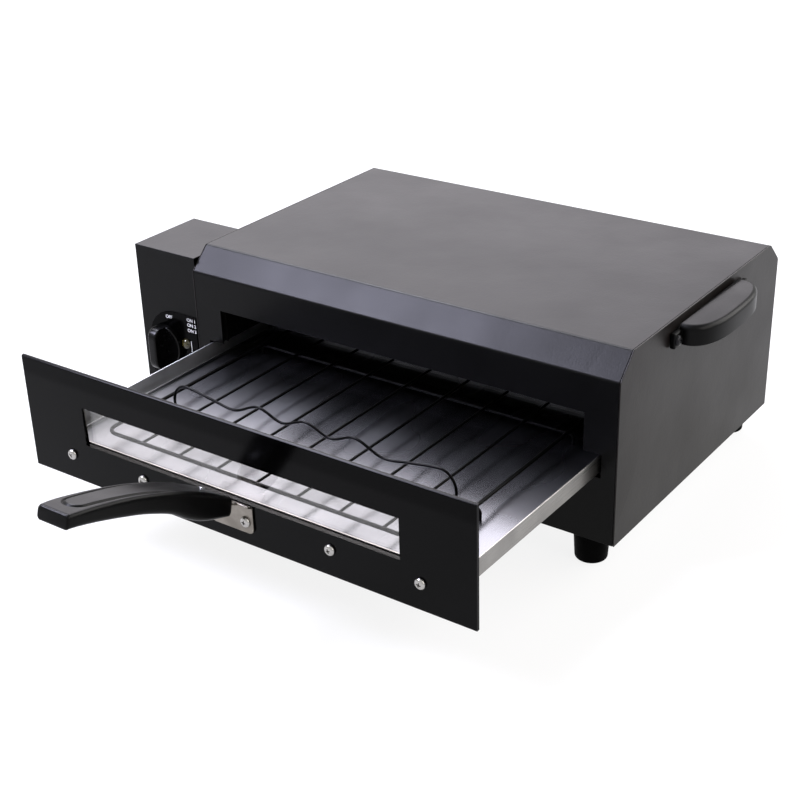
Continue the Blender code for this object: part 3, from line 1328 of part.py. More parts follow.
def wire_grill(grill, rest_y):
    """Frame, bars and cross wires, spot-welded into one piece."""
    frame = welded_wires("grill", [grill_frame_path()], FRAME_WIRE_RADIUS, grill,
                         black_wire("grill_black_wire"), closed=True)
    unite(frame, welded_wires("grill_bars", grill_bar_paths(), GRILL_WIRE_RADIUS, grill))
    crosses = [cross_wire_path(rest_y), cross_wire_path(GRILL_REAR_Y - GRILL_CROSS_REAR)]
    unite(frame, welded_wires("grill_crosses", crosses, GRILL_WIRE_RADIUS, grill))


def wave_rest(grill, y):
    """Raised wavy wire that stands on the front cross wire."""
    half = REST_SPAN / 2
    foot = CROSS_Z + GRILL_WIRE_RADIUS + SEAT_GAP
    right = [(MIDDLE_X + half * across, y, foot + REST_HEIGHT * rise) for across, rise in REST_WAVE_SHARES]
    left = [(2 * MIDDLE_X - x, y, z) for x, y, z in reversed(right[1:])]
    path = smooth_path(left + right, REST_SAMPLES)
    return tubes("wave_rest", path, GRILL_WIRE_RADIUS, grill, black_wire("wave_rest_black_wire"))


def build_oven():
    clear_scene()
    oven = Carrier("oven_root", (0, 0, 0))
    cover = wrap_cover(oven)
    left_end = end_panel("left_end", 0, 1, oven)
    right_end = end_panel("right_end", BODY_WIDTH, -1, oven)
    base = base_pan(oven)
    feet(oven, base)
    cover_screws(oven, cover, [left_end, right_end])
    drawer_guide("left_guide", 0, 1, oven)
    drawer_guide("right_guide", BODY_WIDTH, -1, oven)
    hood = reflector_hood(oven)
    pan = reflector_pan(oven)
    heaters(oven, hood, pan, left_end)
    box = control_box(oven)
    box_bracket(oven, box)
    dial = dial_plate(oven)
    switch_and_knob(oven, box, dial)
    indicator_lamp(oven, box, dial)
    mains_inlet(oven, box)
    carry_handle(oven, right_end)
    build_drawer(oven)
    stand_on_origin(oven)


def build_drawer(oven):
    drawer = Carrier("drawer_slide", (MIDDLE_X, PANEL_FACE_Y, RAIL_BOTTOM), oven)
    front = drawer_front(drawer)
    window_glass(drawer)
    retainer = glass_retainer(drawer)
    rails = [drawer_rail("left_rail", -1, drawer), drawer_rail("right_rail", 1, drawer)]
    tray_pan(drawer)
    panel_screws(drawer, front, retainer, rails)
    bracket = handle_bracket(drawer, front)
    drawer_handle(drawer, bracket)
    middle_y = (GRILL_FRONT_Y + GRILL_REAR_Y) / 2
    grill = Carrier("grill_lift", (MIDDLE_X, middle_y, TRAY_FLOOR), drawer)
    rest_y = GRILL_FRONT_Y + GRILL_CROSS_FRONT
    wire_grill(grill, rest_y)
    wave_rest(grill, rest_y)


def stand_on_origin(oven):
    """Move the whole oven so that its footprint's middle, at the feet, is the origin."""
    graph = bpy.context.evaluated_depsgraph_get()
    corners = []
    for piece in bpy.context.scene.objects:
        if piece.type == 'EMPTY' or piece.hide_render:
            continue
        solid = piece.evaluated_get(graph)
        corners += [solid.matrix_world @ vertex.co for vertex in solid.to_mesh().vertices]
        solid.to_mesh_clear()
    low = [min(corner[axis] for corner in corners) for axis in range(3)]
    high = [max(corner[axis] for corner in corners) for axis in range(3)]
    oven.empty.location = (-(low[0] + high[0]) / 2, -(low[1] + high[1]) / 2, -low[2])
    bpy.context.view_layer.update()


build_oven()
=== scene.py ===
"""Dressed model of an electric table oven with a drawer that pulls out to the front.

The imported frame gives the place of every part. Each operator here makes one piece, or one
group of like pieces, fits it to the frame's boxes and seats it on the body it moves with.
Lengths are in metres, +Z is up and the drawer opens towards -Y.
"""

import json
import math

import bmesh
import bpy
from bpy.props import FloatProperty, FloatVectorProperty, PointerProperty
from mathutils import Matrix, Vector


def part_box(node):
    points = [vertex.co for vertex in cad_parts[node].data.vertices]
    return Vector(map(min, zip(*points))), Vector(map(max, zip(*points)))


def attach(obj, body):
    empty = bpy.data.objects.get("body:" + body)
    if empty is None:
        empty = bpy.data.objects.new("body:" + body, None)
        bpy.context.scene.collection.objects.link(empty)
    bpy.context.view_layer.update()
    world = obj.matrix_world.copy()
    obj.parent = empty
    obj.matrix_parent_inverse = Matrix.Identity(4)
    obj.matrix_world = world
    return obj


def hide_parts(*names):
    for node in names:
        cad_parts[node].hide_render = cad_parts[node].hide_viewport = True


bl_info = {
    "name": "Table oven with a pull-out drawer",
    "version": (1, 0, 0),
    "blender": (4, 5, 0),
    "location": "3D View > Sidebar > Oven",
    "description": "Makes the dressed pieces of a table oven round its packed frame",
    "category": "Object",
}

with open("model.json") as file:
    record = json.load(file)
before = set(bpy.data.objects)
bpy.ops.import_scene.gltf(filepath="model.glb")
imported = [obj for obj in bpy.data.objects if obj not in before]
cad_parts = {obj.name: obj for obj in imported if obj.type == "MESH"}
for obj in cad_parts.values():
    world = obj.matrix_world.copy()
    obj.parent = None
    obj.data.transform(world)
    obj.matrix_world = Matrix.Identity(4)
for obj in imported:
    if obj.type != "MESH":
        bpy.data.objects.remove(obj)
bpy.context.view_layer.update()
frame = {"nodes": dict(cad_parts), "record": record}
BODY_OF = {node: body for body, nodes in frame["record"]["behaviour"]["bodies"].items()
           for node in nodes}

# Merging and rounding of sheet parts
MERGE_DISTANCE = 0.000002
FLAT_DEGREES = 0.4
SHARP_DEGREES = 28.0
EDGE_STEPS = 3
FLATS_WEIGHT = 50

# Round parts
LATHE_STEPS = 72
SHANK_SIDES = 20
WIRE_SIDES = 14
BEND_STEPS = 8

# Screws
HEAD_DIAMETER = 0.0084
HEAD_HEIGHT_SHARE = 0.29
SHANK_DIAMETER = 0.0040
RECESS_WIDTH_SHARE = 0.13
RECESS_LENGTH_SHARE = 0.56
RECESS_DEPTH_SHARE = 0.17
RECESS_TAPER = (0.5, 0.7)
HEAD_PROFILE_SHARES = (
    (0.0, 1.0), (0.30, 0.985), (0.52, 0.93), (0.72, 0.81), (0.86, 0.64), (0.95, 0.43), (0.99, 0.22),
    (1.0, 0.08), (0.985, 0.0),
)
HEAD_SIDES = 40
TURN_SEED = 7

# Wire grill and rest
FRAME_WIRE = 0.0030
BAR_WIRE = 0.0022
GRILL_CORNER = 0.0100
CROSS_CORNER = 0.0030
BAR_COUNT = 7
WELD_DIAMETER = 0.0030
WELD_FLATTEN_SHARE = 0.55
WELD_SPREAD = (0.85, 1.15)
WELD_SEED = 11
REST_SAMPLES = 10
REST_WAVE_SHARES = (
    (0.000, 1.00), (0.172, 0.71), (0.345, 1.00), (0.525, 0.62), (0.705, 0.75),
    (0.870, 0.89), (0.935, 0.86), (0.981, 0.64), (1.000, 0.33), (1.000, 0.00),
)
CROSS_FROM_BACK = 0.0400
CROSS_SINK = 0.0004
BAR_DROP = 0.0002

# Feet, as shares of their upper radius and height; the shoulder's steps are shares of the rim
FOOT_COUNT = 4
FOOT_RADIUS_SHARES = (0.887, 0.42, 0.16)
FOOT_RIM_SHARE = 0.09
FOOT_POCKET_SHARE = 0.58
FOOT_SHOULDER_SHARES = ((0.2, 0.5), (0.0, 0.3), (0.2, 0.0))

# Heating elements
HEATER_DIAMETER = 0.0065
HEATER_BEND = 0.0140
HEATER_SECOND_END = 0.0340
HEATER_MIDDLE = 0.1080
HEATER_INNER_SIDE = 0.0720
HEATER_SIDE = 0.0380

# Drawer front and its window
# Heights below the drawer front's top between which its shine falls: painted shade on the rolled
# lip
LIP_SHADE_START = 0.0170
LIP_SHADE_END = 0.0110
WINDOW_HEIGHT = 0.0310
WINDOW_REVEAL = 0.0026
PANE_HOLD = 0.0006

# Folds of the cover
FOLD_RADIUS = 0.0022
FOLD_STEPS = 4
FOLD_DEGREES = 20.0
FOLD_LENGTH = 0.25
FOLD_FACE = 0.003

# Drawer handle, root to tip, as shares of its reach and rise
GRIP_TOP_SHARES = (
    (0.000, 0.165), (0.145, 0.365), (0.260, 0.500), (0.365, 0.607), (0.520, 0.740),
    (0.650, 0.832), (0.800, 0.920), (0.905, 0.972), (0.978, 1.000),
)
GRIP_UNDER_SHARES = (
    (0.022, -0.026), (0.190, 0.104), (0.300, 0.238), (0.405, 0.405), (0.550, 0.556),
    (0.680, 0.662), (0.820, 0.766), (0.935, 0.840), (1.000, 0.868),
)
GRIP_WIDTH_SHARES = (0.84, 0.93, 0.98, 1.00, 1.00, 1.00, 1.02, 1.04, 1.00)
GRIP_WIDTH = 0.0270
GRIP_CORNER = 0.0028
GRIP_CORNER_LIMIT_SHARE = 0.42
GRIP_TOP_SHARE = 0.999
GRIP_END_ROUND = 0.0016
GRIP_STATIONS = 240
GRIP_FIRST_STATION = 2
GRIP_TOP_POINTS = 64
GRIP_SIDE_POINTS = 6
GRIP_CORNER_POINTS = 7
PAD_HALF_WIDTH = 0.0072
PAD_FROM_TIP = 0.0120
PAD_LENGTH = 0.0900
PAD_RISE = 0.0004
PAD_SPREAD = 0.0026
PAD_FADE = 0.0300
PAD_EDGE = 0.000225
GROOVE_DEPTH = 0.0010
GROOVE_WIDTH = 0.0009

# Carry handle
CARRY_POWER = 2.8
CARRY_STANDOFF = 0.0032
CARRY_ROUND = 0.0040
CARRY_WALL = 0.0040
CARRY_LIP = 0.0008
CARRY_STEPS = 44
LUG_LENGTH = 0.0180
LUG_OUT = 0.0110
LUG_THICKNESS = 0.0046
LUG_ROUND = 0.0012
QUARTER_STEPS = 6

# Control box, selector knob and lamp
DIAL_EDGE_SHARE = 0.5
NUT_EDGE_SHARE = 0.7
KNOB_SKIRT = 0.0050
KNOB_SKIRT_ROUND = 0.0010
KNOB_FACE_SHARES = ((0.90, 0.35), (0.55, 0.60))
KNOB_SIDES = 96
KNOB_BAR_WIDTH = 0.0084
KNOB_BAR_EDGE = 0.0014
KNOB_BAR_EDGE_LIMIT_SHARE = 0.9
KNOB_BAR_REACH_SHARE = 0.9995
KNOB_BAR_SINK = 0.00165
KNOB_BAR_CROWN = 0.0090
KNOB_BAR_STATIONS = 40
KNOB_BORE = 0.0033
LAMP_RIM = 0.0008
LAMP_DOME_BASE = 0.0009
LAMP_DOME_SHARE = 0.94
LAMP_NECK_SHARE = 0.72
LAMP_DOME_STEPS = 10
LAMP_SIDES = 48

# Printed marks on the dial plate
PRINT_THICKNESS = 0.00006
PRINT_LIFT = 0.00002
MARK_HEIGHT = 0.0031
CAPITAL_SHARE = 0.72
MARKS = (
    ("OFF", -0.0353, 0.0827), ("ON 1", -0.0093, 0.0847), ("ON 2", -0.0093, 0.0800),
    ("ON 3", -0.0093, 0.0750),
)
LINE_MARK = (-0.0115, 0.0601, 0.0005, 0.0107)

# Camera, in the oven's own places: from the lower front left corner of the body
CAMERA_PLACE = (0.81602, -0.82919, 0.58651)
CAMERA_AZIMUTH = 36.14
CAMERA_ELEVATION = 26.72
CAMERA_ROLL = -1.71
CAMERA_FOCAL_PIXELS = 1477.0
PICTURE_PIXELS = 800
SENSOR_MM = 36.0
CAMERA_CLIP = (0.01, 100.0)

# Stage
WHITE = (1.0, 1.0, 1.0, 1.0)
FLOOR_PAPER = (0.86, 0.86, 0.86, 1.0)
FLOOR_CELLS = 4
LIGHT_TARGET = (0.0, 0.0, 0.1)

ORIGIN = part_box("left_end")[0]


def linear(code):
    """The linear colour of an sRGB hex code."""
    channels = [int(code[start:start + 2], 16) / 255 for start in (0, 2, 4)]
    return tuple(c / 12.92 if c <= 0.04045 else ((c + 0.055) / 1.055) ** 2.4 for c in channels)


def opaque(colour):
    return (*colour, 1.0)


def colour_choice(name, description, code):
    return FloatVectorProperty(
        name=name, description=description, subtype='COLOR', default=linear(code), min=0.0, max=1.0)


def length_choice(name, description, default, low, high):
    return FloatProperty(
        name=name, description=description, subtype='DISTANCE', unit='LENGTH', default=default,
        min=low, max=high, precision=5)


class OvenLook(bpy.types.PropertyGroup):
    """Colours and small sizes that change how the oven looks."""
    powder_colour: colour_choice("Powder coat", "Colour of the body's black powder coat", "030303")
    front_colour: colour_choice("Drawer front", "Colour of the drawer front's paint", "010101")
    moulding_colour: colour_choice("Handles", "Colour of the handles and the knob", "020202")
    lamp_colour: colour_choice("Lamp", "Colour of the unlit lamp's lens", "2C280E")
    print_colour: colour_choice("Print", "Colour of the printed marks", "BEBEBC")
    sheet_edge: length_choice("Sheet edge", "Rounding of cut sheet edges", 0.00028, 0.00005, 0.0005)
    fold_edge: length_choice("Fold edge", "Rounding of tight folds", 0.00045, 0.0001, 0.0010)
    peel_size: length_choice("Orange peel", "Width of one bump of the powder", 0.0016, 0.0005, 0.01)


class OvenStage(bpy.types.PropertyGroup):
    """Floor, light and camera."""
    floor_size: FloatProperty(
        name="Floor", description="Width of the floor", subtype='DISTANCE', unit='LENGTH',
        default=12.0, min=1.0)
    ambient: FloatProperty(
        name="Ambient", description="Strength of the light from all round", default=0.32, min=0.0)
    key_watts: FloatProperty(
        name="Key light", description="Power that the soft boxes have a share of",
        subtype='POWER', unit='POWER', default=27.5, min=0.0)
    shadow_share: FloatProperty(
        name="Shadow", description="Share of the floor's white that shadows can darken",
        subtype='FACTOR', default=0.15, min=0.0, max=1.0)


def look():
    return bpy.context.scene.oven_look


def place(x, y, z):
    """A point counted from the body's lower front left corner."""
    return ORIGIN + Vector((x, y, z))


# Materials

def feed(tree, socket, value):
    """Give a socket a value or a link; a node stands for its first output."""
    if isinstance(value, bpy.types.Node):
        value = value.outputs[0]
    if isinstance(value, bpy.types.NodeSocket):
        tree.links.new(value, socket)
    else:
        socket.default_value = value


def add_node(tree, kind, inputs=None, **settings):
    """Add a node with its settings, and feed its sockets, by name or number."""
    node = tree.nodes.new(kind)
    for key, value in settings.items():
        setattr(node, key, value)
    for key, value in (inputs or {}).items():
        feed(tree, node.inputs[key], value)
    return node


class Finish:
    """A material while it is made; what changes it gives it back, for the next change."""

    def __init__(self, name, colour=None, metallic=0.0, specular=0.5):
        self.material = bpy.data.materials.new(name)
        self.material.use_nodes = True
        self.tree = self.material.node_tree
        self.tree.nodes.clear()
        self.shader = add_node(self.tree, 'ShaderNodeBsdfPrincipled', {
            "Metallic": metallic, "Specular IOR Level": specular})
        add_node(self.tree, 'ShaderNodeOutputMaterial', {"Surface": self.shader})
        self.place = add_node(self.tree, 'ShaderNodeTexCoord').outputs["Object"]
        self.normal = None
        if colour is not None:
            self.set("Base Color", opaque(colour))

    def set(self, socket, value):
        feed(self.tree, self.shader.inputs[socket], value)
        return self

    def mottle(self, size, low=0.0, high=1.0, stretch=(1.0, 1.0, 1.0), detail=2.0, sharp=0.2):
        """Soft patches of one size in metres, as values between low and high."""
        drawn_out = add_node(self.tree, 'ShaderNodeMapping', {
            "Vector": self.place, "Scale": stretch})
        noise = add_node(self.tree, 'ShaderNodeTexNoise', {
            "Vector": drawn_out, "Scale": 1.0 / size, "Detail": detail})
        return add_node(self.tree, 'ShaderNodeMapRange', {
            "Value": noise, "From Min": 0.5 - sharp, "From Max": 0.5 + sharp, "To Min": low,
            "To Max": high})

    def along(self, axis, start, end, low, high):
        """A value that goes from low to high between two places on one axis."""
        parts = add_node(self.tree, 'ShaderNodeSeparateXYZ', {0: self.place})
        return add_node(self.tree, 'ShaderNodeMapRange', {
            "Value": parts.outputs[axis], "From Min": start, "From Max": end, "To Min": low,
            "To Max": high}, interpolation_type='SMOOTHSTEP')

    def rough(self, size, low, high, **pattern):
        """Let the roughness drift between two values."""
        return self.set("Roughness", self.mottle(size, low, high, **pattern))

    def tones(self, size, first, second, **pattern):
        """Let the colour drift between two hex codes."""
        blend = add_node(self.tree, 'ShaderNodeMix', {
            0: self.mottle(size, **pattern), 6: opaque(linear(first)), 7: opaque(linear(second))},
            data_type='RGBA')
        return self.set("Base Color", blend.outputs[2])

    def relief(self, size, height, **pattern):
        """Raise the surface by a pattern, on top of what is there."""
        inputs = {"Height": self.mottle(size, **pattern), "Distance": height, "Strength": 1.0}
        if self.normal is not None:
            inputs["Normal"] = self.normal
        self.normal = add_node(self.tree, 'ShaderNodeBump', inputs)
        return self.set("Normal", self.normal)


def finish(builder):
    """The material that a builder makes, made once."""
    found = bpy.data.materials.get(builder.__name__)
    return found or builder(builder.__name__).material


# Real grain, scratches, tool marks and sparked textures are finer than a pixel. They are drawn
# 0.4 to 2 mm wide, several times coarser, so that they show.

def powder_coat(name, colour, specular):
    """Polyester powder baked on sheet: satin, with a fine orange peel over the sheet's waves."""
    return (Finish(name, colour, specular=specular).rough(0.070, 0.31, 0.39)
            .relief(0.120, 0.0009, detail=0.0).relief(0.022, 0.00006, detail=3.0)
            .relief(look().peel_size, 0.000022))


def powder_coated_steel(name):
    """The powder of the cover and the control box: neutral black."""
    return powder_coat(name, look().powder_colour, 0.086)


def ends_powder_painted_sheen(name):
    """The end plates' powder: the body's black powder with a warmer colour and more shine than the
    cover's, a painted sheen that brightens the sides.
    """
    return powder_coat(name, linear("0E0B0A"), 0.150)


def painted_drawer_front(name):
    """Stoved enamel, glossier than the body's powder; its shine drops towards the top, as painted
    shade on the rolled lip.
    """
    made = Finish(name, look().front_colour).rough(0.050, 0.13, 0.20)
    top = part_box("drawer_front")[1].z
    # Painted shade: less shine on the top band, where the rolled lip turns from the light
    painted_lip_shade = made.along(2, top - LIP_SHADE_START, top - LIP_SHADE_END, 0.064, 0.046)
    return (made.set("Specular IOR Level", painted_lip_shade).relief(0.150, 0.0005, detail=0.0)
            .relief(0.0011, 0.000010))


def gloss_dial_enamel(name):
    """Screen-printed gloss black plate: near mirror, with faint wipe marks."""
    made = Finish(name, linear("010101"), specular=0.03)
    return made.rough(0.012, 0.07, 0.18).relief(0.004, 0.000004)


def brushed_strip(name, first, second, dull, duller):
    """Stainless strip with its grain along the drawer: long fine lines."""
    return (Finish(name, metallic=1.0).tones(0.030, first, second)
            .rough(0.0006, dull, duller, stretch=(1.0, 0.006, 1.0), detail=3.0)
            .relief(0.0007, 0.00006, stretch=(1.0, 0.004, 1.0)))


def brushed_stainless(name):
    """Clean brushed strip: bright."""
    return brushed_strip(name, "7F7D7B", "94928F", 0.26, 0.36)


def painted_sheen_brushed_stainless(name):
    """Brushed strip paler and duller than the clean one: a copy lightened as painted sheen on the
    left rail's lit inner wall.
    """
    return brushed_strip(name, "9A9B9E", "B6B7BA", 0.36, 0.50)


def satin_stainless_plate(name):
    """Tumbled stainless plate: soft warm grey with a fine even scratch."""
    return (Finish(name, metallic=1.0).tones(0.009, "746F68", "8A857E")
            .rough(0.0012, 0.30, 0.44, stretch=(0.2, 1.0, 1.0))
            .relief(0.0008, 0.000010, stretch=(0.15, 1.0, 1.0)))


def rolled_tray_stainless(name):
    """Thin cold-rolled tray sheet: a soft mirror that waves, with cloudy wipe marks."""
    return (Finish(name, metallic=1.0).tones(0.055, "545558", "7A7A7E", detail=1.0, sharp=0.4)
            .rough(0.060, 0.22, 0.34, stretch=(1.0, 0.45, 1.0), detail=1.0, sharp=0.4)
            .relief(0.080, 0.0007, detail=0.0))


def chamber_painted_shade_coat(name):
    """Chamber sheet coloured brown-black, dull and uneven: painted shade of the unlit chamber, over
    the reflectors' aluminised steel and the guides.
    """
    return (Finish(name, specular=0.06).tones(0.025, "060505", "100E0D", detail=4.0)
            .rough(0.0045, 0.54, 0.68, detail=0.0, sharp=0.08).relief(0.050, 0.0005, detail=0.0))


def zinc_plated_steel(name):
    """Clear passivated zinc: pale blue-grey with a fine crystalline grain."""
    return (Finish(name, metallic=1.0).tones(0.012, "9B9DA2", "B4B4B2")
            .rough(0.0022, 0.27, 0.42).relief(0.0015, 0.000006))


def polished_screw_steel(name):
    """Nickel-plated screws: bright, with small tool marks."""
    made = Finish(name, linear("A3A19E"), metallic=1.0)
    return made.rough(0.0010, 0.12, 0.28).relief(0.0008, 0.000008)


def shade_darkened_screw_steel(name):
    """Dark, slightly oily steel: painted shade for the screws in the carry handle's shaded lugs."""
    made = Finish(name, linear("1E1E20"), metallic=0.9)
    return made.rough(0.0015, 0.26, 0.42).relief(0.0008, 0.000006)


def black_grill_wire(name):
    """Black heat-proof coat on steel wire: semi-gloss, with a slight roughness of the dip."""
    made = Finish(name, linear("020202"), specular=0.04)
    return made.rough(0.006, 0.28, 0.42).relief(0.0012, 0.000020)


def heater_sheath(name):
    """Oxidised nickel alloy tube: dark olive grey, blotched by heat."""
    return (Finish(name, metallic=0.9).tones(0.018, "33322E", "5E5A50", detail=4.0)
            .rough(0.004, 0.40, 0.58).relief(0.0016, 0.000020))


def moulded_phenolic(name):
    """Phenolic handle moulding: deep black with a soft gloss and a faint flow grain."""
    made = Finish(name, look().moulding_colour, specular=0.085)
    return made.rough(0.030, 0.27, 0.38, detail=4.0).relief(0.0020, 0.000012)


def knob_abs(name):
    """Moulded ABS knob: black, smooth and fairly glossy."""
    made = Finish(name, look().moulding_colour, specular=0.12)
    return made.rough(0.008, 0.20, 0.29).relief(0.0010, 0.000005)


def moulded_rubber(name):
    """Moulded rubber foot: matt black with a fine sparked texture."""
    made = Finish(name, linear("010101"), specular=0.02)
    return made.rough(0.006, 0.50, 0.68).relief(0.0006, 0.000020)


def moulded_nylon(name):
    """Glass-filled nylon: dark grey-black with a dry, fine grain."""
    return Finish(name, linear("1B1B1D")).rough(0.004, 0.40, 0.54).relief(0.0005, 0.000010)


def brown_phenolic(name):
    """Brown phenolic switch body: matt, with a mottled flow."""
    return (Finish(name).set("Roughness", 0.50).tones(0.004, "3C2D20", "5A4633")
            .relief(0.0010, 0.000012))


def lamp_lens_acrylic(name):
    """Unlit amber acrylic: dark olive and glassy."""
    return (Finish(name, look().lamp_colour).set("Roughness", 0.08)
            .set("Transmission Weight", 0.35).set("IOR", 1.49).relief(0.0016, 0.000020))


def float_glass(name):
    """Heat-proof window glass: clear, a little dulled, more in some places than in others."""
    return (Finish(name).set("Roughness", 0.0).set("Transmission Weight", 1.0).set("IOR", 1.50)
            .tones(0.060, "DBDAD5", "E1E0DB"))


def nickel_plate(name):
    """Nickel-plated contact blades: warm bright metal."""
    return Finish(name, linear("C6BFB0"), metallic=1.0).rough(0.0012, 0.16, 0.30)


def screen_ink(name):
    """Matt white screen print."""
    return Finish(name, look().print_colour).rough(0.0008, 0.48, 0.62).relief(0.0004, 0.000008)


# Making and seating pieces

def new_object(name, data):
    made = bpy.data.objects.new(name, data)
    bpy.context.scene.collection.objects.link(made)
    return made


def new_piece(name, mesh, builder=None):
    """An object, with the material that a builder makes."""
    if builder is not None:
        mesh.materials.clear()
        mesh.materials.append(finish(builder))
    return new_object(name, mesh)


def shade(mesh):
    """Smooth shading that breaks at sharp edges."""
    mesh.shade_smooth()
    mesh.set_sharp_from_angle(angle=math.radians(SHARP_DEGREES))


def to_mesh(bm, name):
    mesh = bpy.data.meshes.new(name)
    bm.to_mesh(mesh)
    bm.free()
    return mesh


def mesh_of(bm, name, smooth=True):
    """A closed mesh, with its normals turned outwards."""
    bmesh.ops.remove_doubles(bm, verts=bm.verts, dist=MERGE_DISTANCE)
    bmesh.ops.recalc_face_normals(bm, faces=bm.faces)
    mesh = to_mesh(bm, name)
    if smooth:
        shade(mesh)
    return mesh


def settle(piece):
    """Turn a piece's modifiers into its mesh."""
    bpy.context.view_layer.update()
    graph = bpy.context.evaluated_depsgraph_get()
    mesh = bpy.data.meshes.new_from_object(
        piece.evaluated_get(graph), preserve_all_data_layers=True, depsgraph=graph)
    piece.modifiers.clear()
    old, piece.data = piece.data, mesh
    if old.users == 0:
        bpy.data.meshes.remove(old)
    return piece


def seat(piece, *nodes, like=None):
    """Let a piece stand for frame nodes and ride on their body."""
    model = nodes[0] if nodes else like
    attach(piece, BODY_OF[model])
    if nodes:
        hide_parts(*nodes)
    return piece


def bevelled(piece, width):
    """Round every sharp edge of a piece and keep its flats flat."""
    bevel = piece.modifiers.new("edges", 'BEVEL')
    bevel.width = width
    bevel.segments = EDGE_STEPS
    bevel.limit_method = 'ANGLE'
    bevel.angle_limit = math.radians(SHARP_DEGREES)
    bevel.use_clamp_overlap = True
    flats = piece.modifiers.new("flats", 'WEIGHTED_NORMAL')
    flats.mode = 'FACE_AREA'
    flats.weight = FLATS_WEIGHT
    flats.keep_sharp = False
    piece.data.shade_smooth()
    return settle(piece)


def merged_copy(node):
    """A closed mesh with a frame node's shape and its flat faces joined."""
    bm = bmesh.new()
    bm.from_mesh(frame["nodes"][node].data)
    bmesh.ops.remove_doubles(bm, verts=bm.verts, dist=MERGE_DISTANCE)
    bmesh.ops.dissolve_limit(
        bm, angle_limit=math.radians(FLAT_DEGREES), verts=bm.verts, edges=bm.edges)
    return to_mesh(bm, node + "_mesh")


def round_folds(mesh):
    """Give the long outer folds of a sheet part their bending radius."""
    bm = bmesh.new()
    bm.from_mesh(mesh)
    bmesh.ops.recalc_face_normals(bm, faces=bm.faces)
    folds = []
    for edge in bm.edges:
        if len(edge.link_faces) != 2 or edge.calc_length() < FOLD_LENGTH:
            continue
        narrow = min(face.calc_area() / edge.calc_length() for face in edge.link_faces)
        turn = math.degrees(edge.calc_face_angle_signed())
        if turn > FOLD_DEGREES and narrow > FOLD_FACE:
            folds.append((edge, FOLD_RADIUS * math.tan(math.radians(turn) / 2)))
    for edge, offset in folds:
        if edge.is_valid:
            bmesh.ops.bevel(
                bm, geom=[edge], offset=offset, offset_type='OFFSET', segments=FOLD_STEPS,
                profile=0.5, affect='EDGES', clamp_overlap=True)
    bm.to_mesh(mesh)
    bm.free()
    return mesh


def formed(node, name, builder, edge=None):
    """A frame node's own shape with rounded edges, in place of that node."""
    piece = new_piece(name, merged_copy(node), builder)
    return seat(bevelled(piece, look().sheet_edge if edge is None else edge), node)


def block(name, low, high, smooth=False):
    """A plain block between two corners."""
    bm = bmesh.new()
    bmesh.ops.create_cube(bm, size=1.0)
    low, high = Vector(low), Vector(high)
    bm.transform(Matrix.Translation((low + high) / 2) @ Matrix.Diagonal((*(high - low), 1.0)))
    return new_piece(name, mesh_of(bm, name, smooth))


def bridge(bm, first, second):
    """Faces between two closed rings."""
    for index in range(len(first)):
        follow = (index + 1) % len(first)
        bm.faces.new((first[index], first[follow], second[follow], second[index]))


def loft_mesh(name, rings):
    """A closed skin through outlines of equal point counts."""
    bm = bmesh.new()
    layers = [[bm.verts.new(point) for point in ring] for ring in rings]
    for first, second in zip(layers, layers[1:]):
        bridge(bm, first, second)
    bm.faces.new(layers[0])
    bm.faces.new(list(reversed(layers[-1])))
    return mesh_of(bm, name)


def lathe_mesh(name, profile, centre, axis, steps=LATHE_STEPS):
    """A turned solid from radii and heights along an axis."""
    turn = Vector((0, 0, 1)).rotation_difference(Vector(axis)).to_matrix()
    bm = bmesh.new()
    layers = []
    for radius, height in profile:
        angles = [2 * math.pi * step / steps for step in range(steps)] if radius else [0.0]
        spots = [Vector((radius * math.cos(a), radius * math.sin(a), height)) for a in angles]
        layers.append([bm.verts.new(turn @ spot + centre) for spot in spots])
    pairs = list(zip(layers, layers[1:]))
    if profile[0][0] != 0:
        pairs.append((layers[-1], layers[0]))
    for first, second in pairs:
        if len(first) > 1 and len(second) > 1:
            bridge(bm, first, second)
            continue
        tip, ring = (first[0], second) if len(first) == 1 else (second[0], first)
        for index in range(steps):
            bm.faces.new((tip, ring[index], ring[(index + 1) % steps]))
    return mesh_of(bm, name)


def combine(piece, other, operation):
    """Weld another solid into a piece, or cut it out."""
    boolean = piece.modifiers.new("boolean", 'BOOLEAN')
    boolean.operation = operation
    boolean.solver = 'EXACT'
    boolean.object = other
    settle(piece)
    bpy.data.objects.remove(other)


def smooth_path(points, samples):
    """Points along a smooth curve through the given ones."""
    path = [Vector(point) for point in points]
    padded = [2 * path[0] - path[1]] + path + [2 * path[-1] - path[-2]]
    result = []
    for index in range(1, len(padded) - 2):
        before, start, end, after = padded[index - 1:index + 3]
        for step in range(samples):
            share = step / samples
            result.append(
                start
                + (end - before) * (share / 2)
                + (before * 2 - start * 5 + end * 4 - after) * (share ** 2 / 2)
                + (start * 3 - before - end * 3 + after) * (share ** 3 / 2)
            )
    result.append(path[-1])
    return result


def quarter(radius):
    """Pairs (inwards, upwards) round a quarter turn."""
    angles = [math.pi / 2 * step / QUARTER_STEPS for step in range(QUARTER_STEPS + 1)]
    return [(radius * (1 - math.cos(angle)), radius * math.sin(angle)) for angle in angles]


def middle(box):
    return (box[0] + box[1]) / 2


# Geometry Nodes

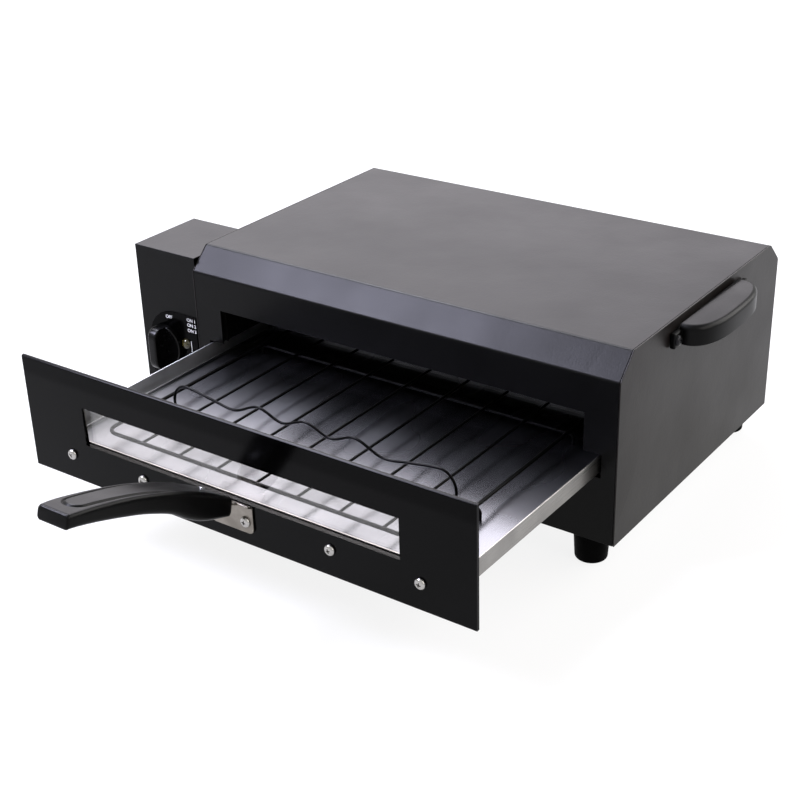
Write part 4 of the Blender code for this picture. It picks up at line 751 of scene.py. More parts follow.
class Rule:
    """A Geometry Nodes tree with named inputs, which ends in plain geometry of one material."""

    def __init__(self, name, **inputs):
        self.tree = bpy.data.node_groups.new(name, 'GeometryNodeTree')
        self.keys = {}
        for label, kind in {"Geometry": 'Geometry', **inputs, "Finish": 'Material'}.items():
            made = self.tree.interface.new_socket(
                name=label.replace("_", " "), in_out='INPUT', socket_type='NodeSocket' + kind)
            self.keys[label] = made.identifier
        self.tree.interface.new_socket(
            name="Geometry", in_out='OUTPUT', socket_type='NodeSocketGeometry')
        entry = self.tree.nodes.new('NodeGroupInput')
        self.given = dict(zip(self.keys, entry.outputs))

    def node(self, kind, inputs=None, **settings):
        return add_node(self.tree, kind, inputs, **settings)

    def swept(self, path):
        """Round wire with closed ends along a curve."""
        radius = self.node('ShaderNodeMath', {
            0: self.given["Diameter"], 1: 2.0}, operation='DIVIDE')
        section = self.node('GeometryNodeCurvePrimitiveCircle', {
            "Resolution": self.given["Sides"], "Radius": radius})
        return self.node('GeometryNodeCurveToMesh', {
            "Curve": path, "Profile Curve": section, "Fill Caps": True})

    def end(self, geometry):
        """Close the tree: instances become plain, smooth and painted geometry."""
        plain = self.node('GeometryNodeRealizeInstances', {"Geometry": geometry})
        smooth = self.node('GeometryNodeSetShadeSmooth', {"Geometry": plain})
        painted = self.node('GeometryNodeSetMaterial', {
            "Geometry": smooth, "Material": self.given["Finish"]})
        self.node('NodeGroupOutput', {"Geometry": painted})
        return self

    def make(self, name, guide, builder, **values):
        """Run the rule on a guide mesh and give the plain mesh it makes."""
        piece = new_object(name, guide)
        modifier = piece.modifiers.new("rule", 'NODES')
        modifier.node_group = self.tree
        for label, value in {**values, "Finish": finish(builder)}.items():
            modifier[self.keys[label]] = value
        return settle(piece)


def round_wire_rule():
    """Wires bent along the edges of a guide mesh."""
    rule = Rule("Bent wire", Diameter='Float', Bend_radius='Float', Bend_steps='Int', Sides='Int')
    given = rule.given
    paths = rule.node('GeometryNodeMeshToCurve', {"Mesh": given["Geometry"]})
    bent = rule.node('GeometryNodeFilletCurve', {
        "Curve": paths, "Count": given["Bend_steps"], "Radius": given["Bend_radius"],
        "Limit Radius": True}, mode='POLY')
    return rule.end(rule.swept(bent))


def bar_row_rule():
    """A row of equal straight wires along Y, one pitch apart along X."""
    rule = Rule("Row of bars", Bars='Int', Pitch='Vector', Start='Vector', Length='Vector',
                Diameter='Float', Sides='Int')
    given = rule.given
    row = rule.node('GeometryNodeMeshLine', {
        "Count": given["Bars"], "Start Location": given["Start"], "Offset": given["Pitch"]},
        mode='OFFSET')
    line = rule.node('GeometryNodeCurvePrimitiveLine', {"End": given["Length"]})
    return rule.end(rule.node('GeometryNodeInstanceOnPoints', {
        "Points": row, "Instance": rule.swept(line)}))


def weld_rule():
    """Flattened beads of weld on the points of a guide mesh, no two the same size."""
    rule = Rule("Weld beads", Diameter='Float', Flatten='Float', Seed='Int')
    given = rule.given
    radius = rule.node('ShaderNodeMath', {0: given["Diameter"], 1: 2.0}, operation='DIVIDE')
    bead = rule.node('GeometryNodeMeshIcoSphere', {"Radius": radius, "Subdivisions": 2})
    wide = rule.node('FunctionNodeRandomValue', {
        2: WELD_SPREAD[0], 3: WELD_SPREAD[1], "Seed": given["Seed"]}, data_type='FLOAT').outputs[1]
    high = rule.node('ShaderNodeMath', {0: wide, 1: given["Flatten"]}, operation='MULTIPLY')
    scale = rule.node('ShaderNodeCombineXYZ', {0: wide, 1: wide, 2: high})
    return rule.end(rule.node('GeometryNodeInstanceOnPoints', {
        "Points": given["Geometry"], "Instance": bead, "Scale": scale}))


def screw_rule():
    """Screws on the points of a guide mesh, each along its own axis and turned at random."""
    rule = Rule("Cross-head screws", Head='Object', Head_diameter='Float', Shank_diameter='Float',
                Shank_length='Float', Seed='Int')
    given = rule.given
    head = rule.node('GeometryNodeObjectInfo', {"Object": given["Head"]}).outputs["Geometry"]
    size = rule.node('ShaderNodeCombineXYZ', {axis: given["Head_diameter"] for axis in range(3)})
    sized = rule.node('GeometryNodeTransform', {"Geometry": head, "Scale": size})
    radius = rule.node('ShaderNodeMath', {0: given["Shank_diameter"], 1: 2.0}, operation='DIVIDE')
    shank = rule.node('GeometryNodeMeshCylinder', {
        "Vertices": SHANK_SIDES, "Radius": radius, "Depth": given["Shank_length"]})
    drop = rule.node('ShaderNodeMath', {0: given["Shank_length"], 1: -2.0}, operation='DIVIDE')
    down = rule.node('ShaderNodeCombineXYZ', {2: drop})
    lowered = rule.node('GeometryNodeTransform', {"Geometry": shank, "Translation": down})
    whole = rule.node('GeometryNodeJoinGeometry', {"Geometry": sized})
    feed(rule.tree, whole.inputs[0], lowered)
    axis = rule.node('GeometryNodeInputNamedAttribute', {"Name": "axis"}, data_type='FLOAT_VECTOR')
    aimed = rule.node('FunctionNodeAlignRotationToVector', {"Vector": axis}, axis='Z')
    angle = rule.node('FunctionNodeRandomValue', {2: 0.0, 3: math.pi, "Seed": given["Seed"]},
                      data_type='FLOAT').outputs[1]
    turn = rule.node('FunctionNodeAxisAngleToRotation', {"Axis": (0.0, 0.0, 1.0), "Angle": angle})
    rotation = rule.node('FunctionNodeRotateRotation', {
        "Rotation": aimed, "Rotate By": turn}, rotation_space='LOCAL')
    return rule.end(rule.node('GeometryNodeInstanceOnPoints', {
        "Points": given["Geometry"], "Instance": whole, "Rotation": rotation}))


def guide_mesh(name, paths, closed=False):
    """Edges along paths, for a rule to follow."""
    mesh = bpy.data.meshes.new(name + "_guide")
    points, edges = [], []
    for path in paths:
        first = len(points)
        points += [tuple(spot) for spot in path]
        edges += [(first + index, first + index + 1) for index in range(len(path) - 1)]
        if closed:
            edges.append((len(points) - 1, first))
    mesh.from_pydata(points, edges, [])
    return mesh


def bent_wire(rule, name, paths, diameter, bend, builder, closed=False, bend_steps=BEND_STEPS):
    """Round wire along paths, bent at their corners."""
    return rule.make(name, guide_mesh(name, paths, closed), builder, Diameter=diameter,
                     Bend_radius=bend, Bend_steps=bend_steps, Sides=WIRE_SIDES)


def joined(name, pieces, builder):
    """Several plain pieces as one."""
    bm = bmesh.new()
    for piece in pieces:
        bm.from_mesh(piece.data)
        bpy.data.objects.remove(piece)
    return new_piece(name, to_mesh(bm, name), builder)


# Oven body

def make_body():
    """Cover, ends, base and guides: folded sheet with softly rounded edges."""
    cover = new_piece("cover_shell", round_folds(merged_copy("wrap_cover")), powder_coated_steel)
    seat(bevelled(cover, look().sheet_edge), "wrap_cover")
    # The end plates take the brighter copy of the powder: painted sheen on the sides
    formed("left_end", "end_plate_left", ends_powder_painted_sheen, look().fold_edge)
    formed("right_end", "end_plate_right", ends_powder_painted_sheen, look().fold_edge)
    formed("base_pan", "base_sheet", zinc_plated_steel)
    # The guides are darkened as painted shade of the chamber
    formed("left_guide", "guide_channel_left", chamber_painted_shade_coat)
    formed("right_guide", "guide_channel_right", chamber_painted_shade_coat)


def make_chamber():
    """Reflector halves, and the two bent heating elements with their plates."""
    # The reflectors are darkened as painted shade of the chamber, in place of their aluminised
    # steel
    formed("reflector_hood", "chamber_hood", chamber_painted_shade_coat)
    formed("reflector_pan", "chamber_pan", chamber_painted_shade_coat)
    for node in ("upper_heater_plate", "lower_heater_plate"):
        formed(node, node + "_dressed", zinc_plated_steel)
    rule = round_wire_rule()
    for node in ("upper_heater", "lower_heater"):
        low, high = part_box(node)
        radius = HEATER_DIAMETER / 2
        left, right, front, rear = low.x, high.x - radius, low.y + radius, high.y - radius
        inner_left, inner_right = ORIGIN.x + HEATER_SIDE, right - HEATER_INNER_SIDE
        second, centre = front + HEATER_SECOND_END, front + HEATER_MIDDLE
        turns = ((left, front), (right, front), (right, rear), (inner_left, rear),
                 (inner_left, centre), (inner_right, centre), (inner_right, second), (left, second))
        path = [(x, y, (low.z + high.z) / 2) for x, y in turns]
        rod = bent_wire(rule, node + "_rod", [path], HEATER_DIAMETER, HEATER_BEND, heater_sheath)
        seat(rod, node)


def make_feet():
    """Moulded feet: a soft cone with a rounded lower rim and a screw pocket."""
    for number in range(1, FOOT_COUNT + 1):
        node = f"foot_{number}"
        low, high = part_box(node)
        top, tall = (high.x - low.x) / 2, high.z - low.z
        bottom, pocket, bore = (top * share for share in FOOT_RADIUS_SHARES)
        rim, deep = tall * FOOT_RIM_SHARE, tall * FOOT_POCKET_SHARE
        profile = [(pocket, 0.0), (bottom - rim, 0.0)]
        profile += [(bottom - rim + upward, inward) for inward, upward in quarter(rim)[1:]]
        profile += [(top - rim * inward, tall - rim * down)
                    for inward, down in FOOT_SHOULDER_SHARES]
        profile += [(bore, tall), (bore, deep), (pocket, deep)]
        centre = middle((low, high))
        centre.z = low.z
        mesh = lathe_mesh(node + "_mesh", profile, centre, (0, 0, 1))
        seat(new_piece(node + "_moulding", mesh, moulded_rubber), node)


# Control box

def make_control_box():
    """Folded box with its bracket, switch and mains inlet."""
    edge = look().sheet_edge
    formed("control_box", "control_box_shell", powder_coated_steel, look().fold_edge)
    formed("dial_plate", "dial_plate_enamel", gloss_dial_enamel, edge * DIAL_EDGE_SHARE)
    formed("box_bracket", "box_angle", zinc_plated_steel)
    formed("mains_inlet", "inlet_moulding", moulded_nylon, look().fold_edge)
    for word in ("live", "earth", "neutral"):
        formed("inlet_pin_" + word, "inlet_blade_" + word, nickel_plate)
    formed("rotary_switch", "switch_body", brown_phenolic)
    formed("switch_nut", "switch_nut_dressed", zinc_plated_steel, edge * NUT_EDGE_SHARE)
    formed("lamp_ring", "lamp_push_ring", moulded_nylon)
    formed("selector_shaft", "selector_spindle", zinc_plated_steel)


def bar_section(centre, half_width, back_y, front_y, z):
    """One level of the knob's finger bar: flat sides and round front corners."""
    edge = min(KNOB_BAR_EDGE, half_width * KNOB_BAR_EDGE_LIMIT_SHARE)
    corner = [(half_width - inward, front_y + edge - upward) for inward, upward in quarter(edge)]
    half = [(half_width, back_y)] + corner
    return [(centre.x + across, y, z) for across, y in half] + [
        (centre.x - across, y, z) for across, y in reversed(half)]


def make_knob():
    """Selector knob: a round skirt with a tall finger bar, upright at rest."""
    low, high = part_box("selector_knob")
    centre = middle((low, high))
    radius = (high.x - low.x) / 2
    edge = KNOB_SKIRT_ROUND
    skirt = [(KNOB_BORE, 0.0), (radius - edge / 2, 0.0), (radius, edge / 2)]
    skirt += [(radius - inward, KNOB_SKIRT - edge + upward) for inward, upward in quarter(edge)]
    skirt += [(radius * out, KNOB_SKIRT - edge * down) for out, down in KNOB_FACE_SHARES]
    skirt.append((KNOB_BORE, skirt[-1][1]))
    mesh = lathe_mesh(
        "knob_skirt", skirt, Vector((centre.x, high.y, centre.z)), (0, -1, 0), KNOB_SIDES)
    knob = new_piece("selector_knob_moulding", mesh, knob_abs)
    half_length = (high.z - low.z) / 2
    limit = half_length * KNOB_BAR_REACH_SHARE
    rings = []
    for step in range(KNOB_BAR_STATIONS + 1):
        up = -math.cos(math.pi * step / KNOB_BAR_STATIONS) * half_length
        up = max(-limit, min(limit, up))
        past = max(0.0, abs(up) - (half_length - KNOB_BAR_CROWN)) / KNOB_BAR_CROWN
        drop = KNOB_BAR_CROWN * (1 - math.sqrt(max(0.0, 1 - past ** 2)))
        half_width = min(KNOB_BAR_WIDTH / 2, math.sqrt(half_length ** 2 - up ** 2))
        rings.append(bar_section(
            centre, half_width, high.y - KNOB_BAR_SINK, low.y + drop, centre.z + up))
    combine(knob, new_piece("knob_bar", loft_mesh("knob_bar", rings)), 'UNION')
    shade(knob.data)
    seat(knob, "selector_knob")


def make_lamp():
    """Indicator lens: a low dome with a step round its rim."""
    low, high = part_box("lamp_lens")
    centre = middle((low, high))
    centre.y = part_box("dial_plate")[0].y
    radius = (high.x - low.x) / 2
    stem, tall = high.y - centre.y, centre.y - low.y
    neck = radius * LAMP_NECK_SHARE
    profile = [(0.0, -stem), (neck, -stem), (neck, 0.0), (radius, 0.0), (radius, LAMP_RIM)]
    for step in range(1, LAMP_DOME_STEPS):
        angle = math.pi / 2 * step / LAMP_DOME_STEPS
        profile.append((radius * LAMP_DOME_SHARE * math.cos(angle),
                        LAMP_DOME_BASE + (tall - LAMP_DOME_BASE) * math.sin(angle)))
    profile.append((0.0, tall))
    mesh = lathe_mesh("lamp_dome", profile, centre, (0, -1, 0), LAMP_SIDES)
    seat(new_piece("lamp_lens_moulding", mesh, lamp_lens_acrylic), "lamp_lens")


def make_print():
    """White marks on the dial plate: plain words and numbers, and one line by the lamp."""
    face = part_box("dial_plate")[0].y - PRINT_LIFT
    pieces = []
    for words, x, z in MARKS:
        curve = bpy.data.curves.new("mark", 'FONT')
        curve.body = words
        curve.size = MARK_HEIGHT / CAPITAL_SHARE
        curve.align_x = 'CENTER'
        curve.align_y = 'CENTER'
        curve.extrude = PRINT_THICKNESS / 2
        text = new_object("mark", curve)
        bpy.context.view_layer.update()
        graph = bpy.context.evaluated_depsgraph_get()
        mesh = bpy.data.meshes.new_from_object(text.evaluated_get(graph))
        bpy.data.objects.remove(text)
        spot = place(x, 0.0, z)
        spot.y = face
        mesh.transform(Matrix.Translation(spot) @ Matrix.Rotation(math.pi / 2, 4, 'X'))
        pieces.append(new_piece("mark", mesh))
    x, z, wide, tall = LINE_MARK
    spot = place(x, 0.0, z)
    spot.y = face
    half = Vector((wide, PRINT_THICKNESS, tall)) / 2
    pieces.append(block("mark", spot - half, spot + half))
    seat(joined("dial_print", pieces, screen_ink), like="dial_plate")


# Carry handle

def carry_outline(inset, chord_x, flat_x, reach, half_length, centre_y, z):
    """Flat on the oven's side, bulged on the other."""
    half = half_length - inset
    out = reach - inset
    points = []
    for step in range(CARRY_STEPS + 1):
        angle = math.pi * step / CARRY_STEPS
        along = math.copysign(abs(math.cos(angle)) ** (2 / CARRY_POWER), math.cos(angle))
        bulge = math.sin(angle) ** (2 / CARRY_POWER) if 0 < step < CARRY_STEPS else 0
        points.append((max(chord_x, flat_x + out * bulge), centre_y + half * along, z))
    return points + [(chord_x, centre_y - half, z), (chord_x, centre_y + half, z)]


def make_carry_handle():
    """Cupped side grip with a lug at each end."""
    low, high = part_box("carry_handle")
    flat_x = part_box("right_end")[1].x + CARRY_STANDOFF
    reach = high.x - flat_x
    half_length = (high.y - low.y) / 2 - LUG_OUT
    centre_y = (low.y + high.y) / 2
    chord = flat_x - LUG_ROUND / 2
    inner_chord = chord + CARRY_WALL / 2

    def ring(inset, z, chord_x=chord):
        return carry_outline(inset, chord_x, flat_x, reach, half_length, centre_y, z)

    hollow_top = high.z - CARRY_WALL
    top = high.z - CARRY_ROUND
    rings = [
        ring(CARRY_WALL + CARRY_ROUND / 2, hollow_top, inner_chord),
        ring(CARRY_WALL, hollow_top - CARRY_ROUND / 2, inner_chord),
        ring(CARRY_WALL, low.z + CARRY_LIP, inner_chord),
        ring(CARRY_WALL - CARRY_LIP, low.z, inner_chord - CARRY_LIP),
        ring(CARRY_LIP, low.z),
        ring(0, low.z + CARRY_LIP),
    ]
    rings += [ring(inward, top + upward) for inward, upward in quarter(CARRY_ROUND)]
    mesh = loft_mesh("carry_grip", rings)
    handle = new_piece("carry_handle_moulding", mesh, moulded_phenolic)
    for side in (-1, 1):
        outer = centre_y + side * (half_length + LUG_OUT)
        front, back = sorted((outer, outer - side * LUG_LENGTH))
        lug = block("carry_lug", (low.x, front, low.z), (low.x + LUG_THICKNESS, back, top),
                    smooth=True)
        combine(handle, bevelled(lug, LUG_ROUND), 'UNION')
    shade(handle.data)
    seat(handle, "carry_handle")


# Drawer

def make_drawer_front():
    """Folded front, its glass and the sheet frame that holds the glass.

    The front's side flanges and the frame's hole are cut wider, so that the window's ends are open.
    """
    edge = look().sheet_edge
    pane_low, pane_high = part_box("window_glass")
    reveal_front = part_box("drawer_front")[0].y + WINDOW_REVEAL / 2
    reveal_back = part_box("glass_retainer")[1].y + WINDOW_REVEAL
    front = new_piece("drawer_front_panel", merged_copy("drawer_front"), painted_drawer_front)
    retainer = new_piece("glass_frame", merged_copy("glass_retainer"), brushed_stainless)
    lap = (pane_high.z - pane_low.z - WINDOW_HEIGHT) / 2
    sill, lintel = pane_low.z + lap, pane_high.z - lap
    for side, pane_x in ((-1, pane_low.x), (1, pane_high.x)):
        jamb = pane_x - side * lap
        cuts = (
            (front, jamb - side * edge, jamb + side * (lap + edge), reveal_front, pane_low.y),
            (retainer, jamb - side * lap, pane_x - side * PANE_HOLD, pane_high.y, reveal_back),
        )
        for piece, inner, outer, near, far in cuts:
            left, right = sorted((inner, outer))
            cutter = block("reveal", (left, near, sill), (right, far, lintel))
            combine(piece, cutter, 'DIFFERENCE')
    seat(bevelled(front, edge), "drawer_front")
    formed("window_glass", "window_pane", float_glass)
    seat(bevelled(retainer, edge), "glass_retainer")


def make_drawer_tray():
    """Tray sheet and the two angle rails that carry it."""
    formed("tray_pan", "tray_sheet", rolled_tray_stainless)
    # The left rail takes the paler copy of the brushed strip: painted sheen on its lit inner wall
    formed("left_rail", "rail_angle_left", painted_sheen_brushed_stainless)
    formed("right_rail", "rail_angle_right", brushed_stainless)


def corner_arc(centre, radius, start):
    """Points round a quarter turn, anticlockwise from an angle."""
    angles = [start + math.pi / 2 * step / (GRIP_CORNER_POINTS - 1)
              for step in range(GRIP_CORNER_POINTS)]
    return [(centre[0] + radius * math.cos(angle), centre[1] + radius * math.sin(angle))
            for angle in angles]


def side_points(first, last, count):
    """Points between two corners, without the corners."""
    shares = [step / count for step in range(1, count)]
    return [(first[0] + (last[0] - first[0]) * share, first[1] + (last[1] - first[1]) * share)
            for share in shares]


def grip_section(half_width, height, radius):
    """Outline of the handle's section, anticlockwise, with many points along its top."""
    radius = min(radius, height * GRIP_CORNER_LIMIT_SHARE)
    x, low, high = half_width - radius, radius, height - radius
    outline = corner_arc((x, low), radius, -math.pi / 2)
    outline += side_points((half_width, low), (half_width, high), GRIP_SIDE_POINTS)
    outline += corner_arc((x, high), radius, 0)
    outline += side_points((x, height), (-x, height), GRIP_TOP_POINTS)
    outline += corner_arc((-x, high), radius, math.pi / 2)
    outline += side_points((-half_width, high), (-half_width, low), GRIP_SIDE_POINTS)
    outline += corner_arc((-x, low), radius, math.pi)
    outline += side_points((-x, 0.0), (x, 0.0), GRIP_SIDE_POINTS)
    return outline


def pad_relief(across, from_tip):
    """Raised thumb pad with a round end, and the groove round it."""
    end = PAD_FROM_TIP + PAD_HALF_WIDTH
    if from_tip < end:
        off = math.hypot(across, from_tip - end) - PAD_HALF_WIDTH
    else:
        off = abs(across) - PAD_HALF_WIDTH - PAD_SPREAD * (from_tip - end) / PAD_LENGTH
    fade = min(1.0, max(0.0, (PAD_FROM_TIP + PAD_LENGTH - from_tip) / PAD_FADE))
    groove = math.exp(-((off - GROOVE_WIDTH) / GROOVE_WIDTH) ** 2)
    pad = 1.0 / (1.0 + math.exp(off / PAD_EDGE))
    return (PAD_RISE * pad - GROOVE_DEPTH * groove) * fade


def make_drawer_handle():
    """Moulded drawer handle that climbs away from the front, and its steel bracket."""
    low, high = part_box("drawer_handle")
    centre_x = (low.x + high.x) / 2

    def stations(points):
        return smooth_path(points, GRIP_STATIONS // (len(points) - 1))

    def side_line(shares):
        reach, rise = high.y - low.y, high.z - low.z
        return stations([(0.0, high.y - reach * along, low.z + rise * up) for along, up in shares])

    tops, unders = side_line(GRIP_TOP_SHARES), side_line(GRIP_UNDER_SHARES)
    widths = [point.x * GRIP_WIDTH / 2
              for point in stations([(share, 0, 0) for share in GRIP_WIDTH_SHARES])]
    run = [0.0]
    for first, second in zip(tops, tops[1:]):
        run.append(run[-1] + (second - first).length)
    total = run[-1]

    def ring(index, inset=0.0, shift=0.0):
        top, under = tops[index], unders[index]
        up = (top - under).normalized()
        ahead = Vector((0.0, up.z, -up.y))
        if ahead.y > 0:
            ahead = -ahead
        height = (top - under).length - inset * 2
        points = []
        for across, rising in grip_section(widths[index] - inset, height, GRIP_CORNER):
            on_top = rising > height * GRIP_TOP_SHARE and inset == 0.0
            lift = pad_relief(across, total - run[index]) if on_top else 0.0
            spot = under + up * (inset + rising + lift) + ahead * shift
            points.append((centre_x + across, spot.y, spot.z))
        return points

    last = len(tops) - 1
    rings = [ring(0, GRIP_END_ROUND / 2)]
    rings += [ring(index) for index in range(GRIP_FIRST_STATION, last)
              if total - run[index] >= GRIP_END_ROUND]
    rings += [ring(last, inward, upward - GRIP_END_ROUND)
              for inward, upward in quarter(GRIP_END_ROUND)]
    mesh = loft_mesh("drawer_grip", rings)
    seat(new_piece("drawer_handle_moulding", mesh, moulded_phenolic), "drawer_handle")
    formed("handle_bracket", "handle_bracket_plate", satin_stainless_plate, look().fold_edge)


# Wire grill

def make_grill():
    """Welded wire grill with feet, and the wavy rest that stands on it."""
    low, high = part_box("grill")
    rest_low, rest_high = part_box("wave_rest")
    radius = FRAME_WIRE / 2
    level = high.z - radius
    centre_x = (low.x + high.x) / 2
    front, rear = low.y + radius, high.y - radius
    front_cross, rear_cross = (rest_low.y + rest_high.y) / 2, rear - CROSS_FROM_BACK
    margin = BAR_WIRE / 2 + CROSS_CORNER
    left, right = low.x + margin, high.x - margin
    bent = round_wire_rule()
    frame_path = [(left, front, level), (right, front, level), (right, rear, level),
                  (left, rear, level)]
    outer = bent_wire(bent, "grill_frame", [frame_path], FRAME_WIRE, GRILL_CORNER,
                      black_grill_wire, closed=True)
    bar_z = level - BAR_DROP
    cross_z = bar_z - BAR_WIRE + CROSS_SINK
    reach = (high.x - low.x - BAR_WIRE) / 2
    corners = ((-reach, low.z), (-reach, cross_z), (reach, cross_z), (reach, low.z))
    crosses = [[(centre_x + across, y, z) for across, z in corners]
               for y in (front_cross, rear_cross)]
    cross = bent_wire(bent, "grill_crosses", crosses, BAR_WIRE, CROSS_CORNER, black_grill_wire)
    pitch = (right - left) / (BAR_COUNT + 1)
    bars = bar_row_rule().make(
        "grill_bars", guide_mesh("grill_bars", [[(0, 0, 0), (0, 0, 1)]]), black_grill_wire,
        Bars=BAR_COUNT, Pitch=(pitch, 0.0, 0.0), Start=(left + pitch, front, bar_z),
        Length=(0.0, rear - front, 0.0), Diameter=BAR_WIRE, Sides=WIRE_SIDES)
    spots = []
    for number in range(BAR_COUNT + 2):
        x = left + pitch * number
        spots += [(x, y, (bar_z + cross_z) / 2) for y in (front_cross, rear_cross)]
        if 0 < number <= BAR_COUNT:
            spots += [(x, y, level) for y in (front + radius / 2, rear - radius / 2)]
    welds = weld_rule().make(
        "grill_welds", guide_mesh("grill_welds", [[spot] for spot in spots]), black_grill_wire,
        Diameter=WELD_DIAMETER, Flatten=WELD_FLATTEN_SHARE, Seed=WELD_SEED)
    seat(joined("wire_grill", [outer, cross, bars, welds], black_grill_wire), "grill")
    half = (rest_high.x - rest_low.x - BAR_WIRE) / 2
    bottom, top = rest_low.z, rest_high.z - BAR_WIRE / 2
    side = [(half * across, front_cross, bottom + (top - bottom) * up)
            for across, up in REST_WAVE_SHARES]
    ends = [(-across, y, z) for across, y, z in reversed(side[1:])] + side
    path = smooth_path([(centre_x + across, y, z) for across, y, z in ends], REST_SAMPLES)
    rest = bent_wire(bent, "wave_rest_wire", [path], BAR_WIRE, BAR_WIRE, black_grill_wire,
                     bend_steps=1)
    seat(rest, "wave_rest")


# Screws

def screw_head():
    """Rounded head of unit diameter with a cross recess, its seat at zero."""
    profile = [(0.0, 0.0)]
    profile += [(wide / 2, HEAD_HEIGHT_SHARE * high) for high, wide in HEAD_PROFILE_SHARES]
    profile[-1] = (0.0, HEAD_HEIGHT_SHARE)
    mesh = lathe_mesh("screw_head", profile, Vector((0, 0, 0)), (0, 0, 1), HEAD_SIDES)
    head = new_piece("screw_head", mesh)
    size = (RECESS_LENGTH_SHARE, RECESS_WIDTH_SHARE, RECESS_DEPTH_SHARE * 2, 1.0)
    for turn in (0.0, math.pi / 2):
        bm = bmesh.new()
        bmesh.ops.create_cube(bm, size=1.0)
        for vert in bm.verts:
            if vert.co.z < 0:
                vert.co.x *= RECESS_TAPER[0]
                vert.co.y *= RECESS_TAPER[1]
        bm.transform(Matrix.Translation((0, 0, HEAD_HEIGHT_SHARE))
                     @ Matrix.Rotation(turn, 4, 'Z') @ Matrix.Diagonal(size))
        recess = new_piece("recess", mesh_of(bm, "recess", smooth=False))
        combine(head, recess, 'DIFFERENCE')
    shade(head.data)
    return head


# Group, its frame nodes' name and count, the way the heads face, and the finish
SCREW_SETS = (
    ("panel_screws", "panel_screw", 4, (0, -1, 0), polished_screw_steel),
    ("bracket_screws", "bracket_screw", 2, (0, -1, 0), polished_screw_steel),
    ("cover_screws", "cover_screw", 4, (0, 1, 0), zinc_plated_steel),
    ("box_screws", "box_screw", 2, (0, 1, 0), zinc_plated_steel),
    ("foot_screws", "foot_screw", 4, (0, 0, -1), zinc_plated_steel),
    # The carry screws take the dark steel: painted shade of the shaded lugs
    ("carry_screws", "carry_screw", 2, (1, 0, 0), shade_darkened_screw_steel),
)


def make_screws():
    """All cross-head screws, one group for each seam they hold."""
    rule = screw_rule()
    head = screw_head()
    tall = HEAD_DIAMETER * HEAD_HEIGHT_SHARE
    for name, node, count, axis, builder in SCREW_SETS:
        nodes = [f"{node}_{number}" for number in range(1, count + 1)]
        along = [abs(part) for part in axis].index(1)
        seats, length = [], 0.0
        for each in nodes:
            low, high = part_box(each)
            centre = middle((low, high))
            outer = high[along] if axis[along] > 0 else low[along]
            centre[along] = outer - axis[along] * tall
            seats.append([centre])
            length = high[along] - low[along] - tall
        guide = guide_mesh(name, seats)
        layer = guide.attributes.new("axis", 'FLOAT_VECTOR', 'POINT')
        layer.data.foreach_set("vector", [float(part) for part in axis] * count)
        screws = rule.make(
            name, guide, builder, Head=head, Head_diameter=HEAD_DIAMETER,
            Shank_diameter=SHANK_DIAMETER, Shank_length=length, Seed=TURN_SEED)
        seat(screws, *nodes)
    bpy.data.objects.remove(head)
    formed("handle_screw", "handle_screw_dressed", zinc_plated_steel)


# Stage

def background_rays(tree):
    """One for rays that show the background, and zero for those that only bring light.

    They are camera rays, mirrored rays and rays through the glass.
    """
    rays = add_node(tree, 'ShaderNodeLightPath').outputs
    seen = add_node(tree, 'ShaderNodeMath', {
        0: rays["Is Camera Ray"], 1: rays["Is Glossy Ray"]}, operation='MAXIMUM')
    return add_node(tree, 'ShaderNodeMath', {
        0: seen, 1: rays["Is Transmission Ray"]}, operation='MAXIMUM')


def make_floor():
    """Pale floor that shows as white and keeps a soft shadow."""
    stage = bpy.context.scene.oven_stage
    bm = bmesh.new()
    bmesh.ops.create_grid(
        bm, x_segments=FLOOR_CELLS, y_segments=FLOOR_CELLS, size=stage.floor_size / 2)
    mesh = to_mesh(bm, "floor")
    material = bpy.data.materials.new("white_paper_floor")
    material.use_nodes = True
    mesh.materials.append(material)
    tree = material.node_tree
    tree.nodes.clear()
    share = add_node(tree, 'ShaderNodeMath', {
        0: background_rays(tree), 1: 1.0 - stage.shadow_share}, operation='MULTIPLY')
    matt = add_node(tree, 'ShaderNodeBsdfDiffuse', {"Color": FLOOR_PAPER})
    glow = add_node(tree, 'ShaderNodeEmission', {"Color": WHITE, "Strength": 1.0})
    both = add_node(tree, 'ShaderNodeMixShader', {0: share, 1: matt, 2: glow})
    add_node(tree, 'ShaderNodeOutputMaterial', {"Surface": both})
    new_object("floor", mesh)


def make_world():
    """Surroundings that show as white and bring an even, dimmer light."""
    world = bpy.data.worlds.new("white_room")
    world.use_nodes = True
    bpy.context.scene.world = world
    tree = world.node_tree
    tree.nodes.clear()
    ambient = bpy.context.scene.oven_stage.ambient
    strength = add_node(tree, 'ShaderNodeMapRange', {
        "Value": background_rays(tree), "To Min": ambient, "To Max": 1.0})
    sky = add_node(tree, 'ShaderNodeBackground', {"Color": WHITE, "Strength": strength})
    add_node(tree, 'ShaderNodeOutputWorld', {"Surface": sky})


# Name, place, width, share of the key light's power, and tint
SOFTBOXES = (
    ("back_softbox", (-2.20, 3.00, 2.20), 4.00, 4.00, (0.98, 0.92, 1.0)),
    ("top_back_softbox", (-1.00, 1.35, 1.85), 1.30, 1.15, (0.96, 0.93, 1.0)),
    ("top_left_softbox", (-1.14, 0.47, 2.00), 0.90, 2.90, (0.86, 0.88, 1.0)),
    ("front_left_softbox", (-1.25, -0.95, 1.75), 0.90, 5.00, (0.79, 0.79, 1.0)),
    ("right_softbox", (1.90, 0.15, 1.30), 1.60, 1.20, (1.0, 0.94, 0.90)),
    ("back_right_softbox", (1.45, 1.95, 1.30), 1.90, 2.20, (1.0, 0.98, 0.96)),
)


